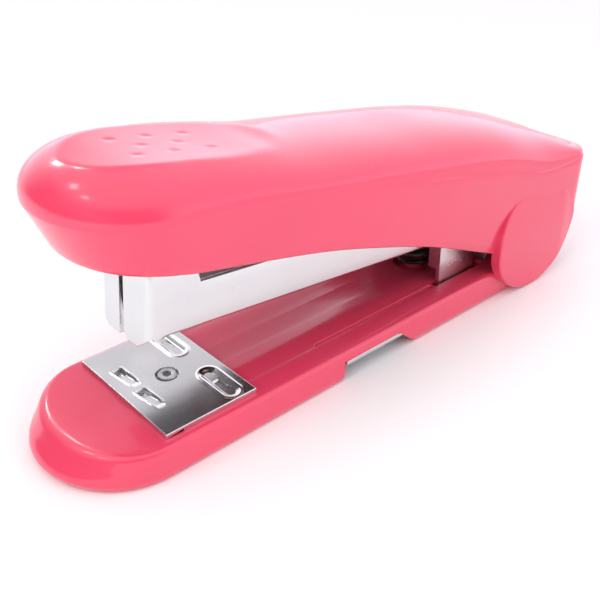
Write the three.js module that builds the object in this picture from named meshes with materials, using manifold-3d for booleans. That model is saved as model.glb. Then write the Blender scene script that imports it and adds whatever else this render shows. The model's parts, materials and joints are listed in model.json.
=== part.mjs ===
// Half-strip desktop stapler, built from its separate pieces.
// Millimetres, +Z up. The nose points to -X and the pivot end to +X.
// Pieces are drawn from the anvil post's axis at x = 0 and the table top at z = 0,
// and the whole group is then moved so that the origin is under the middle of its box.
import * as THREE from 'three';
import { mergeVertices } from 'three/addons/utils/BufferGeometryUtils.js';
import Module from 'manifold-3d';

const wasm = await Module();
wasm.setup();

// ---- driving dimensions ----
const clearance = 0.3;                       // gap between pieces that touch
const nose = { x: -28.2, centre: -11.4 };    // front end of the base and the middle of its round nose
const pivot = { x: 94.5, z: 15.8 };          // axle of the magazine and the handle
const magazineTilt = 5.9;                    // degrees, nose up, at rest
const handleLift = 5.5;                      // degrees between handle frame and magazine at rest
const base = { halfWidth: 17.3, top: 7.2, topWall: 2.0, sideWall: 1.5, rear: 99.5, rearCorner: 4 };
const basePlate = { bottom: 3.4, thickness: 1.2, halfWidth: 15.4, front: -20, rear: 97 };
const anvil = { length: 20.65, width: 30, thickness: 1.0, bottom: 7.25, postRadius: 2.4 };
const magazine = { halfWidth: 7.75, sheet: 1.0, bottom: -3.4, wallTop: 5.9, noseTop: 10, front: -102.4,
  noseLength: 9.9, rear: 4.5 };
const flange = { bottom: -5.7, slotLow: 0.3, slotHigh: 1.7 };
const rail = { halfWidth: 5.3, sheet: 0.8, bottom: -2.1, top: 3.3, front: -98.4, rear: -4.2 };
const staple = { halfWidth: 6.45, wire: 0.5, legs: -2.0, top: 4.1, front: -99.3, rear: -51 };
const pusher = { front: -50.6, rear: -38.6, tabHalfWidth: 2.0 };
const rod = { radius: 0.9, z: 0.2, front: -60, rear: -3.2 };
const driver = { front: -100.7, thickness: 0.9, halfWidth: 6.2, tip: -5.0 };
const frameBar = { halfWidth: 9.4, sheet: 1.0, bottom: 10.6, wallBottom: 5.5, front: -103 };
const cover = { wall: 1.9, noseTip: -21.5, noseCentre: -5, halfWidth: 18.2, rear: 113.5, rearCorner: 5 };
const cheek = { radius: 15, inner: 17.8, outer: 19.7 };
const bracket = { front: 84, rear: 96.5, halfWidth: 12.1, sheet: 1.2, floor: 7.5, earRadius: 6 };
const pin = { radius: 2.0, headRadius: 3.4, halfLength: 13.6 };
const returnSpring = { x: 72, coilRadius: 3.7, wire: 0.55, low: 7.1, high: 13.3, turns: 3 };
const notch = { front: 32, rearTop: 48.5, rearBottom: 54.2, top: 4.9 };
const linkPlane = { inner: 10.4, outer: 11.4 };
const rivetPlaces = [88, 95];                // rivets of the pivot bracket, along x
const screwPlaces = [-80, -44];              // cover screws, along the handle frame

// ---- finishes ----
const finish = {
  pink: { color: 0xe8486a, roughness: 0.22, metalness: 0 },
  steel: { color: 0xc9ccd0, roughness: 0.25, metalness: 1 },
  darkSteel: { color: 0x5a5a5c, roughness: 0.4, metalness: 1 },
  black: { color: 0x161617, roughness: 0.45, metalness: 0.6 },
  rubber: { color: 0x2b2b2d, roughness: 0.9, metalness: 0 },
  staples: { color: 0xb4b7ba, roughness: 0.35, metalness: 1 },
};

const rad = THREE.MathUtils.degToRad;
const stapler = new THREE.Group();

// ---- helpers: solids, booleans and placing ----
function solid(geometry) {
  const bare = geometry.clone();
  bare.deleteAttribute('normal');
  bare.deleteAttribute('uv');
  const merged = mergeVertices(bare, 1e-4);
  return new wasm.Manifold(new wasm.Mesh({
    numProp: 3,
    vertProperties: new Float32Array(merged.attributes.position.array),
    triVerts: new Uint32Array(merged.index.array),
  }));
}

function geometryOf(manifold) {
  const mesh = manifold.getMesh();
  const geometry = new THREE.BufferGeometry();
  geometry.setAttribute('position', new THREE.BufferAttribute(mesh.vertProperties, 3));
  geometry.setIndex(new THREE.BufferAttribute(mesh.triVerts, 1));
  geometry.computeVertexNormals();
  return geometry;
}

function add(group, name, shape, look) {
  const geometry = shape.isBufferGeometry ? shape : geometryOf(shape);
  const mesh = new THREE.Mesh(geometry, new THREE.MeshStandardMaterial(finish[look]));
  mesh.name = name;
  group.add(mesh);
}

// A block between low and high corners.
function block(low, high) {
  const size = high.map((value, i) => value - low[i]);
  const centre = high.map((value, i) => (value + low[i]) / 2);
  return solid(new THREE.BoxGeometry(...size).translate(...centre));
}

// An outline given as points or as a Shape.
function toShape(outline) {
  if (outline instanceof THREE.Shape) return outline;
  return new THREE.Shape(outline.map((point) => new THREE.Vector2(...point)));
}

// A flat outline in x and z, carried from y = low to y = high.
function slab(outline, low, high, curveSegments = 12) {
  const options = { depth: high - low, bevelEnabled: false, curveSegments };
  const plate = new THREE.ExtrudeGeometry(toShape(outline), options).rotateX(Math.PI / 2);
  return solid(plate.translate(0, high, 0));
}

// A flat outline in x and y, carried from z = low to z = high.
function sheet(outline, low, high, curveSegments = 12) {
  const options = { depth: high - low, bevelEnabled: false, curveSegments };
  return solid(new THREE.ExtrudeGeometry(toShape(outline), options).translate(0, 0, low));
}

function mirrored(make) {
  return make(1).add(make(-1));
}

// Two equal plates in x and z, one on each side, from |y| = inner to |y| = outer.
function twinPlates(outline, inner, outer) {
  return slab(outline, inner, outer).add(slab(outline, -outer, -inner));
}

// Round bars along each axis.
function barZ(radius, x, y, low, high, sides = 24) {
  const bar = new THREE.CylinderGeometry(radius, radius, high - low, sides).rotateX(Math.PI / 2);
  return solid(bar.translate(x, y, (low + high) / 2));
}

function barY(radius, x, z, low, high, sides = 32) {
  const bar = new THREE.CylinderGeometry(radius, radius, high - low, sides);
  return solid(bar.translate(x, (low + high) / 2, z));
}

function barX(radius, y, z, low, high, sides = 16) {
  const bar = new THREE.CylinderGeometry(radius, radius, high - low, sides).rotateZ(Math.PI / 2);
  return solid(bar.translate((low + high) / 2, y, z));
}

// Wire wound on a cylinder that stands on z = low.
class Helix extends THREE.Curve {
  constructor(radius, low, high, turns) {
    super();
    Object.assign(this, { radius, low, high, turns });
  }

  getPoint(t, target = new THREE.Vector3()) {
    const angle = t * this.turns * 2 * Math.PI;
    const z = this.low + t * (this.high - this.low);
    return target.set(this.radius * Math.cos(angle), this.radius * Math.sin(angle), z);
  }
}

function coil(radius, wire, low, high, turns, stepsPerTurn, sides) {
  const ring = new THREE.Shape();
  ring.absarc(0, 0, wire, 0, 2 * Math.PI);
  const extrudePath = new Helix(radius, low, high, turns);
  const steps = Math.round(turns * stepsPerTurn);
  return new THREE.ExtrudeGeometry(ring, { steps, curveSegments: sides / 2, extrudePath });
}

// Joins rings of equally many points into a closed skin.
function loft(rings) {
  const count = rings[0].length;
  const positions = rings.flat(2);
  const index = [];
  rings.slice(1).forEach((_, i) => {
    for (let j = 0; j < count; j += 1) {
      const a = i * count + j;
      const b = i * count + ((j + 1) % count);
      index.push(a, b, b + count, a, b + count, a + count);
    }
  });
  for (const [ring, flip] of [[0, true], [rings.length - 1, false]]) {
    const middle = positions.length / 3;
    const sum = rings[ring].reduce((s, p) => s.map((v, k) => v + p[k] / count), [0, 0, 0]);
    positions.push(...sum);
    for (let j = 0; j < count; j += 1) {
      const a = ring * count + j;
      const b = ring * count + ((j + 1) % count);
      index.push(...(flip ? [middle, b, a] : [middle, a, b]));
    }
  }
  const geometry = new THREE.BufferGeometry();
  geometry.setAttribute('position', new THREE.Float32BufferAttribute(positions, 3));
  geometry.setIndex(index);
  return solid(geometry);
}

// Smooth height read from a few (x, z) points.
function profile(points) {
  const spline = new THREE.SplineCurve(points.map((p) => new THREE.Vector2(...p)));
  const samples = spline.getPoints(200);
  return (x) => {
    const next = samples.findIndex((p) => p.x >= x);
    if (next < 0) return samples[samples.length - 1].y;
    if (next === 0) return samples[0].y;
    const [a, b] = [samples[next - 1], samples[next]];
    return a.y + ((b.y - a.y) * (x - a.x)) / (b.x - a.x);
  };
}

// ---- base ----
// Plan outline of the base: round nose, straight sides, small rear corners, pulled in by inset.
function basePlan(inset, noseInset, count = 64) {
  const { centre } = nose;
  const half = base.halfWidth - inset;
  const noseReach = centre - nose.x - noseInset;
  const corner = base.rearCorner;
  const points = [];
  for (let i = 0; i <= count / 2; i += 1) {
    const angle = Math.PI / 2 + (i / (count / 2)) * Math.PI;
    points.push([centre + noseReach * Math.cos(angle), half * Math.sin(angle)]);
  }
  for (const [side, start] of [[-1, -90], [1, 0]]) {
    for (let i = 0; i <= 4; i += 1) {
      const angle = rad(start + i * 22.5);
      const x = base.rear - inset - corner + corner * Math.cos(angle);
      points.push([x, side * (half - corner) + corner * Math.sin(angle)]);
    }
  }
  return points;
}

function baseLayer(inset, noseInset, z) {
  return basePlan(inset, noseInset).map(([x, y]) => [x, y, z]);
}

function makeBaseShell() {
  const wall = base.sideWall;
  const outer = loft([
    baseLayer(0.8, 1.7, 0), baseLayer(0.2, 0.5, 0.8), baseLayer(0, 0, 2), baseLayer(0, 0.4, 3),
    baseLayer(0.05, 1.4, 4.2), baseLayer(0.15, 2.8, 6), baseLayer(0.5, 4.7, base.top),
  ]);
  const hollowTop = base.top - base.topWall;
  const hollow = loft([baseLayer(wall, wall + 1, -1), baseLayer(wall, wall + 1.3, 3.4),
    baseLayer(wall, wall + 2.6, hollowTop)]);
  const upstand = new THREE.Shape();
  upstand.absarc(pivot.x, pivot.z, 10.7, rad(-68), rad(28));
  upstand.absarc(pivot.x, pivot.z, 9.3, rad(28), rad(-68), true);
  const notchCut = slab([[notch.front, -1], [notch.rearBottom + 1, -1], [notch.rearBottom, 0],
    [notch.rearTop, notch.top], [notch.front, notch.top]], -25, 25);
  const groove = mirrored((s) => block([29, s * 11 - 0.5, base.top - 0.6],
    [66.6, s * 11 + 0.5, base.top + 1]));
  const slot = mirrored((s) => block([66.3, s * 10.9 - 0.9, 4], [83.4, s * 10.9 + 0.9, base.top + 1]));
  const seat = barZ(returnSpring.coilRadius + 1.3, returnSpring.x, 0, 6.6, base.top + 1, 32)
    .subtract(barZ(returnSpring.coilRadius - 1.4, returnSpring.x, 0, 6, base.top + 2));
  const postHole = barZ(anvil.postRadius + clearance, 0, 0, 4, 9);
  return outer.subtract(hollow).add(slab(upstand, -14.6, 14.6, 10)).subtract(notchCut)
    .subtract(groove).subtract(slot).subtract(seat).subtract(postHole).subtract(rivetHoles(3, 9));
}

// Holes for the two rivets that hold the pivot bracket.
function rivetHoles(low, high) {
  return rivetPlaces.map((x) => barZ(1.7, x, 0, low, high, 16)).reduce((a, b) => a.add(b));
}

function makeBasePlate() {
  const { bottom, thickness, halfWidth, front, rear } = basePlate;
  const outline = new THREE.Shape();
  outline.moveTo(rear, -halfWidth + 3);
  outline.lineTo(rear, halfWidth - 3);
  outline.lineTo(rear - 3, halfWidth);
  outline.lineTo(-10, halfWidth);
  outline.bezierCurveTo(-16, halfWidth - 2, front, halfWidth / 2, front, 0);
  outline.bezierCurveTo(front, -halfWidth / 2, -16, -halfWidth + 2, -10, -halfWidth);
  outline.lineTo(rear - 3, -halfWidth);
  const slots = mirrored((s) => block([65.3, s * 10.9 - 1.5, 2], [87, s * 10.9 + 1.5, 6]));
  return sheet(outline, bottom, bottom + thickness, 8).subtract(slots)
    .subtract(barZ(6, 0, 0, 2, 6)).subtract(rivetHoles(2, 6));
}

// A pad with rounded ends that lies across the base.
function makeFoot(x, halfLength, halfWidth) {
  const pad = new THREE.Shape();
  pad.absarc(x, halfWidth - halfLength, halfLength, 0, Math.PI);
  pad.absarc(x, halfLength - halfWidth, halfLength, Math.PI, 2 * Math.PI);
  return sheet(pad, 0, basePlate.bottom - clearance, 8);
}

function makeBracket() {
  const { front, rear, halfWidth, sheet: thick, floor, earRadius } = bracket;
  const ear = new THREE.Shape();
  ear.moveTo(front, floor);
  ear.lineTo(rear, floor);
  ear.lineTo(pivot.x + earRadius * Math.cos(rad(-10)), pivot.z + earRadius * Math.sin(rad(-10)));
  ear.absarc(pivot.x, pivot.z, earRadius, rad(-10), rad(150));
  ear.lineTo(front, floor + thick);
  return block([front, -halfWidth, floor], [rear, halfWidth, floor + thick])
    .add(twinPlates(ear, halfWidth - thick, halfWidth))
    .subtract(barY(pin.radius + clearance, pivot.x, pivot.z, -20, 20)).subtract(rivetHoles(6, 10));
}

function makeBracketRivet(x) {
  const headLow = bracket.floor + bracket.sheet + clearance;
  return barZ(1.3, x, 0, basePlate.bottom - 1.2, headLow + 0.2, 16)
    .add(barZ(2.4, x, 0, headLow, headLow + 0.8, 16))
    .add(barZ(2.4, x, 0, 2.1, basePlate.bottom - clearance, 16));
}

function makePin() {
  const head = mirrored((s) => barY(pin.headRadius, pivot.x, pivot.z,
    s > 0 ? pin.halfLength - 1.1 : -pin.halfLength, s > 0 ? pin.halfLength : 1.1 - pin.halfLength));
  return barY(pin.radius, pivot.x, pivot.z, -pin.halfLength, pin.halfLength).add(head);
}

function makeWasher(side) {
  return barY(4.2, pivot.x, pivot.z, side > 0 ? 9.8 : -10.5, side > 0 ? 10.5 : -9.8)
    .subtract(barY(pin.radius + clearance, pivot.x, pivot.z, -20, 20));
}

const baseGroup = new THREE.Group();
add(baseGroup, 'base_shell', makeBaseShell(), 'pink');
add(baseGroup, 'base_plate', makeBasePlate(), 'steel');
add(baseGroup, 'foot_front', makeFoot(-13, 3, 10), 'rubber');
add(baseGroup, 'foot_rear', makeFoot(60, 3, 8), 'rubber');
add(baseGroup, 'pivot_bracket', makeBracket(), 'steel');
rivetPlaces.forEach((x, i) => add(baseGroup, `bracket_rivet_${'ab'[i]}`, makeBracketRivet(x), 'steel'));
add(baseGroup, 'pivot_pin', makePin(), 'steel');
add(baseGroup, 'pivot_washer_left', makeWasher(1), 'steel');
add(baseGroup, 'pivot_washer_right', makeWasher(-1), 'steel');
const { coilRadius, wire, low: springLow, high: springHigh, turns } = returnSpring;
add(baseGroup, 'return_spring', coil(coilRadius, wire, springLow + wire, springHigh, turns, 18, 8)
  .translate(returnSpring.x, 0, 0), 'black');
stapler.add(baseGroup);

// ---- anvil: turns half a turn on its post ----
// One clinching groove: a straight cut with round ends, from y = start to y = end.
function grooveCut(x, start, end, radius) {
  const outline = new THREE.Shape();
  const [low, high] = [Math.min(start, end) + radius, Math.max(start, end) - radius];
  outline.absarc(x, high, radius, 0, Math.PI);
  outline.absarc(x, low, radius, Math.PI, 2 * Math.PI);
  const top = anvil.bottom + anvil.thickness;
  return sheet(outline, top - 0.5, top + 1, 6);
}

function makeAnvilPlate() {
  const { length, width, thickness, bottom, postRadius } = anvil;
  const inward = mirrored((s) => grooveCut(-6.2 + s * 0.3, s * 0.6, s * 8.6, 1.2));
  const outward = mirrored((s) => grooveCut(6.2, s * 3.8, s * 13.6, 1.3));
  const relief = mirrored((s) => block([-6.5, s * 14.6 - 0.5, bottom - 1],
    [6.5, s * 14.6 + 0.5, bottom + 0.5]));
  return block([-length / 2, -width / 2, bottom], [length / 2, width / 2, bottom + thickness])
    .subtract(inward).subtract(outward).subtract(relief)
    .subtract(barZ(postRadius + clearance, 0, 0, 5, 10));
}

function makeAnvilPost() {
  const top = anvil.bottom + anvil.thickness;
  const hexHole = barZ(0.9, 0, 0, top - 1.4, top + 1, 6);
  return barZ(anvil.postRadius, 0, 0, 2.2, top + 0.15).subtract(hexHole);
}

function makeAnvilButton() {
  return barZ(4.4, 0, 0, 0.5, 1.9, 32);
}

const anvilGroup = new THREE.Group();
add(anvilGroup, 'anvil_plate', makeAnvilPlate(), 'steel');
add(anvilGroup, 'anvil_post', makeAnvilPost(), 'darkSteel');
add(anvilGroup, 'anvil_button', makeAnvilButton(), 'darkSteel');
add(anvilGroup, 'anvil_spring', coil(3.7, 0.35, 2.6, 4.5, 2, 16, 6), 'black');
stapler.add(anvilGroup);

// ---- magazine: drawn level about the pivot, then tilted nose up ----
function makeMagazineChannel() {
  const { halfWidth, sheet: thick, bottom, wallTop, noseTop, front, noseLength, rear } = magazine;
  const step = front + noseLength;
  const wall = [[front, bottom], [rear - 3, bottom], [rear, bottom + 3], [rear, wallTop - 3],
    [rear - 3, wallTop], [step + 1.2, wallTop], [step, noseTop], [front, noseTop]];
  const walls = twinPlates(wall, halfWidth - thick, halfWidth);
  const floor = block([staple.front + 0.7, -halfWidth, bottom], [rear - 3, halfWidth, bottom + thick]);
  return walls.add(floor).add(makeFlanges())
    .subtract(barY(pin.radius + clearance, 0, 0, -20, 20));
}

// Front flanges folded in from the side walls, with the driver's slot between them.
function makeFlanges() {
  const { halfWidth, bottom, noseTop, front, sheet: thick } = magazine;
  const near = [[-halfWidth, bottom + 0.6], [-halfWidth + 3.6, flange.bottom],
    [flange.slotLow - 1.6, flange.bottom], [flange.slotLow, flange.bottom + 1.1], [flange.slotLow, noseTop],
    [-halfWidth, noseTop]];
  const far = [[flange.slotHigh, flange.bottom], [halfWidth - 2.2, flange.bottom], [halfWidth, bottom - 0.4],
    [halfWidth, noseTop], [flange.slotHigh, noseTop]];
  return [near, far].map((points) => {
    const shape = new THREE.Shape(points.map(([y, z]) => new THREE.Vector2(y, z)));
    const plate = new THREE.ExtrudeGeometry(shape, { depth: thick, bevelEnabled: false });
    return solid(plate.rotateX(Math.PI / 2).rotateZ(Math.PI / 2).translate(front, 0, 0));
  }).reduce((a, b) => a.add(b));
}

// An upside-down channel that rides along x.
function saddle(front, rear, halfWidth, thick, low, high) {
  return block([front, -halfWidth, low], [rear, halfWidth, high])
    .subtract(block([front - 1, thick - halfWidth, low - 1], [rear + 1, halfWidth - thick, high - thick]));
}

function makeRail() {
  const { front, rear, halfWidth, sheet: thick, bottom, top } = rail;
  return saddle(front, rear, halfWidth, thick, bottom, top)
    .subtract(block([-53, -2.4, top - 2], [-9.5, 2.4, top + 1]));
}

function makeRailBlock() {
  return block([-8.6, -4.2, rail.bottom], [-4.6, 4.2, rail.top - rail.sheet - clearance])
    .subtract(barX(rod.radius + clearance, 0, rod.z, -12, 0));
}

function makePusher() {
  const { front, rear, tabHalfWidth } = pusher;
  const tab = block([rear - 2.5, -tabHalfWidth, -1.7], [rear, tabHalfWidth, rail.top + 1]);
  return saddle(front, rear, 6.4, 0.7, rail.bottom + 0.1, rail.top + 1.2)
    .add(block([front, -3, rail.top + 1.1], [front + 2, 3, rail.top + 2])).add(tab)
    .subtract(barX(rod.radius + clearance, 0, rod.z, rear - 6, rear + 2));
}

function makeRod() {
  return barX(rod.radius, 0, rod.z, rod.front, rod.rear - 0.6)
    .add(barX(1.7, 0, rod.z, rod.rear - 1.0, rod.rear));
}

// Limit link: side plates that hang outside the magazine and reach down into the base slots.
function makeLink() {
  const side = [[-26.9, -2.1], [-25.2, -14.2], [-11.2, -12.2], [-13.4, -9.8], [-14.0, -4.7], [-14.0, -3.7],
    [-18.6, -3.7], [-22, -2.1]];
  const sides = twinPlates(side, linkPlane.inner, linkPlane.outer);
  const strap = block([-17.2, -linkPlane.outer, -4.7], [-14.0, linkPlane.outer, -3.7]);
  const flangeDepth = 1.0;
  const flange = [[-26.9, -2.1], [-26.06, -8], [-26.06 + flangeDepth, -8], [-26.9 + flangeDepth, -2.1]];
  const frontFlange = twinPlates(flange, magazine.halfWidth + clearance, linkPlane.outer);
  return sides.add(strap).add(frontFlange).subtract(barZ(0.9, -15.6, 0, -6, -3));
}

function makeLinkRivet() {
  return barZ(0.6, -15.6, 0, -5.2, -3.7).add(barZ(1.4, -15.6, 0, -5.6, -5.0));
}

const magazineGroup = new THREE.Group();
magazineGroup.position.set(pivot.x, 0, pivot.z);
magazineGroup.rotation.y = rad(magazineTilt);
add(magazineGroup, 'magazine_channel', makeMagazineChannel(), 'steel');
add(magazineGroup, 'staple_rail', makeRail(), 'steel');
add(magazineGroup, 'rail_block', makeRailBlock(), 'black');
add(magazineGroup, 'staple_strip',
  saddle(staple.front, staple.rear, staple.halfWidth, staple.wire, staple.legs, staple.top), 'staples');
add(magazineGroup, 'pusher', makePusher(), 'darkSteel');
add(magazineGroup, 'pusher_rod', makeRod(), 'steel');
add(magazineGroup, 'pusher_spring', coil(1.75, 0.25, 0, 28.6, 13, 12, 6).rotateY(Math.PI / 2)
  .translate(pusher.rear + clearance, 0, rod.z), 'steel');
add(magazineGroup, 'limit_link', makeLink(), 'steel');
add(magazineGroup, 'link_rivet', makeLinkRivet(), 'steel');
stapler.add(magazineGroup);

// ---- handle: steel frame and driver, drawn as when pressed home, then lifted ----
function makeFrame() {
  const { halfWidth, sheet: thick, bottom, wallBottom, front } = frameBar;
  const top = bottom + thick;
  const side = new THREE.Shape();
  side.moveTo(-95, wallBottom);
  side.lineTo(-30, wallBottom);
  side.lineTo(-10, -4);
  side.lineTo(0, -4.6);
  side.absarc(0, 0, 4.6, rad(-90), rad(60));
  side.lineTo(-12, top);
  side.lineTo(-95, top);
  const driverRear = driver.front + driver.thickness;
  return block([front, -halfWidth, bottom], [-12, halfWidth, top])
    .add(twinPlates(side, halfWidth - thick, halfWidth))
    .subtract(block([driver.front - clearance, -4.5, bottom - 1], [driverRear + clearance, 4.5, top + 1]))
    .subtract(barY(pin.radius + clearance, 0, 0, -20, 20)).subtract(screwHoles(bottom - 1, top + 1))
    .subtract(barZ(0.9, -24, 0, bottom - 1, top + 1));
}

function screwHoles(low, high) {
  return screwPlaces.map((x) => barZ(1.3, x, 0, low, high, 16)).reduce((a, b) => a.add(b));
}

function makeDriver() {
  const { front, thickness, halfWidth, tip } = driver;
  const rear = front + thickness;
  return block([front, -halfWidth, tip], [rear, halfWidth, frameBar.bottom - clearance])
    .add(block([front, -4.2, 9], [rear, 4.2, frameBar.bottom + 2.2]));
}

function makeCoverScrew(x) {
  const { bottom } = frameBar;
  return barZ(1.0, x, 0, bottom - 1, bottom + 5.5, 16)
    .add(barZ(2.4, x, 0, bottom - 1.3, bottom - clearance, 16));
}

// Leaf spring riveted under the frame, its free end bearing down towards the magazine.
function makeLeafSpring() {
  const top = frameBar.bottom - clearance;
  const strip = [[-20, top], [-30, top], [-66, 1.2], [-68, 1.4], [-68, 0.9], [-66, 0.6], [-30, top - 0.6],
    [-20, top - 0.6]];
  return slab(strip, -3.5, 3.5).subtract(barZ(0.9, -24, 0, 5, 12));
}

function makeLeafRivet() {
  const { bottom, sheet: thick } = frameBar;
  return barZ(0.6, -24, 0, bottom - 1.6, bottom + thick + 0.8)
    .add(barZ(1.7, -24, 0, bottom - 1.9, bottom - 1.2))
    .add(barZ(1.7, -24, 0, bottom + thick + clearance, bottom + thick + 0.9));
}

const handleGroup = new THREE.Group();
handleGroup.position.set(pivot.x, 0, pivot.z);
handleGroup.rotation.y = rad(magazineTilt + handleLift);
add(handleGroup, 'handle_frame', makeFrame(), 'steel');
add(handleGroup, 'driver_blade', makeDriver(), 'darkSteel');
const [frontScrew, rearScrew] = screwPlaces;
add(handleGroup, 'cover_screw_front', makeCoverScrew(frontScrew), 'darkSteel');
add(handleGroup, 'cover_screw_rear', makeCoverScrew(rearScrew), 'darkSteel');
add(handleGroup, 'leaf_spring', makeLeafSpring(), 'steel');
add(handleGroup, 'leaf_rivet', makeLeafRivet(), 'steel');
stapler.add(handleGroup);

// ---- handle cover: a lofted shell with round cheeks over the pivot ----
const crest = profile([[-21.5, 50.8], [-20.4, 53.6], [-18, 55.6], [-14, 57.0], [-10, 57.3], [-4, 56.6],
  [10, 54.3], [26, 51.7], [34, 50.0], [51, 47.2], [68, 44.6], [82, 41.9], [93, 39.0], [103, 35.6],
  [109, 32.4], [113.5, 29]]);
const crease = profile([[-21.5, 50.6], [-9, 50.0], [6, 48.9], [24, 45.7], [39, 43.2], [67, 36.2], [96, 29.0],
  [106, 28.6], [113.5, 28.4]]);
const hem = profile([[-21.5, 50.4], [-20.8, 46.6], [-19.5, 43.2], [-18, 41.6], [-14, 41.2], [-9.5, 40.6],
  [-5, 39.6], [0, 38.3], [19, 34.5], [30, 32], [41.5, 28.6], [54.5, 24.2], [64.2, 20.2], [75, 15.4],
  [84, 11.8], [89, 12.6], [94, 16.4], [99, 17.2], [104, 15.0], [109, 13.6], [113.5, 13.4]]);

// The plan narrows to a round nose, and to a round corner on each side of the rear wall.
function coverHalfWidth(x) {
  const side = cover.halfWidth - 0.4 + 0.4 * THREE.MathUtils.smoothstep(x, 0, 60);
  if (x < cover.noseCentre) {
    const reach = cover.noseCentre - cover.noseTip;
    return side * Math.sqrt(Math.max(0.0004, 1 - ((cover.noseCentre - x) / reach) ** 2));
  }
  const intoCorner = Math.max(0, x - (cover.rear - cover.rearCorner)) / cover.rearCorner;
  return side - cover.rearCorner * (1 - Math.sqrt(Math.max(0, 1 - intoCorner ** 2)));
}

// Section of the cover at x: side wall up to the crease, then a full round shoulder over the crest.
function coverRing(x, inset, hemDrop) {
  const half = Math.max(0.1, coverHalfWidth(x) - inset);
  const tuck = 2.4 - 1.4 * THREE.MathUtils.smoothstep(x, -10, 40) - THREE.MathUtils.smoothstep(x, 80, 100);
  const low = hemDrop(x);
  const middle = Math.max(crease(x), low + 0.05);
  const top = Math.max(crest(x) - inset, middle + 0.05);
  const shoulderSteps = 20;
  const points = [[x, -Math.max(0.05, half - tuck), low]];
  for (let i = 0; i <= shoulderSteps; i += 1) {
    const angle = Math.PI * (1 - i / shoulderSteps);
    const power = 2 / 2.6;
    const y = half * Math.sign(Math.cos(angle)) * Math.abs(Math.cos(angle)) ** power;
    points.push([x, y, middle + (top - middle) * Math.sin(angle) ** power]);
  }
  points.push([x, Math.max(0.05, half - tuck), low]);
  return points.reverse();
}

function coverLoft(stations, inset, hemDrop) {
  return loft(stations.map((x) => coverRing(x, inset, hemDrop)));
}

function range(start, end, count) {
  return Array.from({ length: count + 1 }, (_, i) => start + ((end - start) * i) / count);
}

function makeCover() {
  const { noseTip, rear, wall } = cover;
  const noseStations = range(0, 1, 10).map((t) => noseTip + 0.05 + 15 * t * t);
  const rearStations = range(0.3, 1, 6)
    .map((t) => rear - cover.rearCorner * (1 - Math.sin((t * Math.PI) / 2)));
  const outer = coverLoft([...noseStations, ...range(-3, 99, 24), 103, 106.5, ...rearStations], 0, hem);
  const innerFront = noseTip + wall + 1.4;      // the wall is full height behind here
  const open = (x) => hem(x) - 4 + 6 * (1 - THREE.MathUtils.smoothstep(x, noseTip + wall, innerFront));
  const innerNose = range(0, 1, 4).map((t) => noseTip + wall + 0.3 + 6 * t * t);
  const inner = coverLoft([...innerNose, ...range(-8, 104, 28), 107, 109, 110.6, rear - wall], wall, open);
  const cheeks = mirrored((s) => {
    const edge = 0.8;
    const profilePoints = [[0, cheek.inner], [cheek.radius, cheek.inner], [cheek.radius, cheek.outer - edge],
      [cheek.radius - edge, cheek.outer], [0, cheek.outer]].map((p) => new THREE.Vector2(...p));
    const disc = new THREE.LatheGeometry(profilePoints, 56);
    if (s < 0) disc.rotateX(Math.PI);
    return solid(disc.translate(pivot.x, 0, pivot.z));
  });
  return outer.subtract(inner).add(cheeks).add(makeBosses(outer));
}

// Screw posts inside the cover, standing on the lifted frame.
function makeBosses(outer) {
  const place = new THREE.Matrix4().makeRotationY(rad(magazineTilt + handleLift));
  const bottom = frameBar.bottom + frameBar.sheet + clearance;
  const posts = [[3, 1], [1.3, -1]].map(([radius, sign]) => screwPlaces.map((x) => {
    const post = new THREE.CylinderGeometry(radius, radius, sign > 0 ? 14 : 9, 16).rotateX(Math.PI / 2);
    post.translate(x, 0, bottom + (sign > 0 ? 7 : 0.5)).applyMatrix4(place);
    return solid(post.translate(pivot.x, 0, pivot.z));
  }).reduce((a, b) => a.add(b)));
  return posts[0].intersect(outer).subtract(posts[1]);
}

add(stapler, 'handle_cover', makeCover(), 'pink');

// ---- origin under the middle of the box ----
const box = new THREE.Box3().setFromObject(stapler);
stapler.position.x = -(box.min.x + box.max.x) / 2;
stapler.position.z = -box.min.z;

export default stapler;
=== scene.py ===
# %% [markdown]
# # A pink desktop stapler
#
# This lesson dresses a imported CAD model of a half-strip stapler. The CAD model holds the frame: the
# sizes, the joints and every piece that moves. Here each piece gets its fine surface and its
# finish. All lengths in the maths below are in millimetres, counted from the axis of the anvil post
# and from the table top, because that is how the stapler was drawn. The nose points to -X. One
# helper turns the numbers into metres at the very end.

# %% Load the frame
import json
import math

import bmesh
import bpy
import numpy as np
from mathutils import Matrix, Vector
from mathutils.geometry import tessellate_polygon


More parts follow.
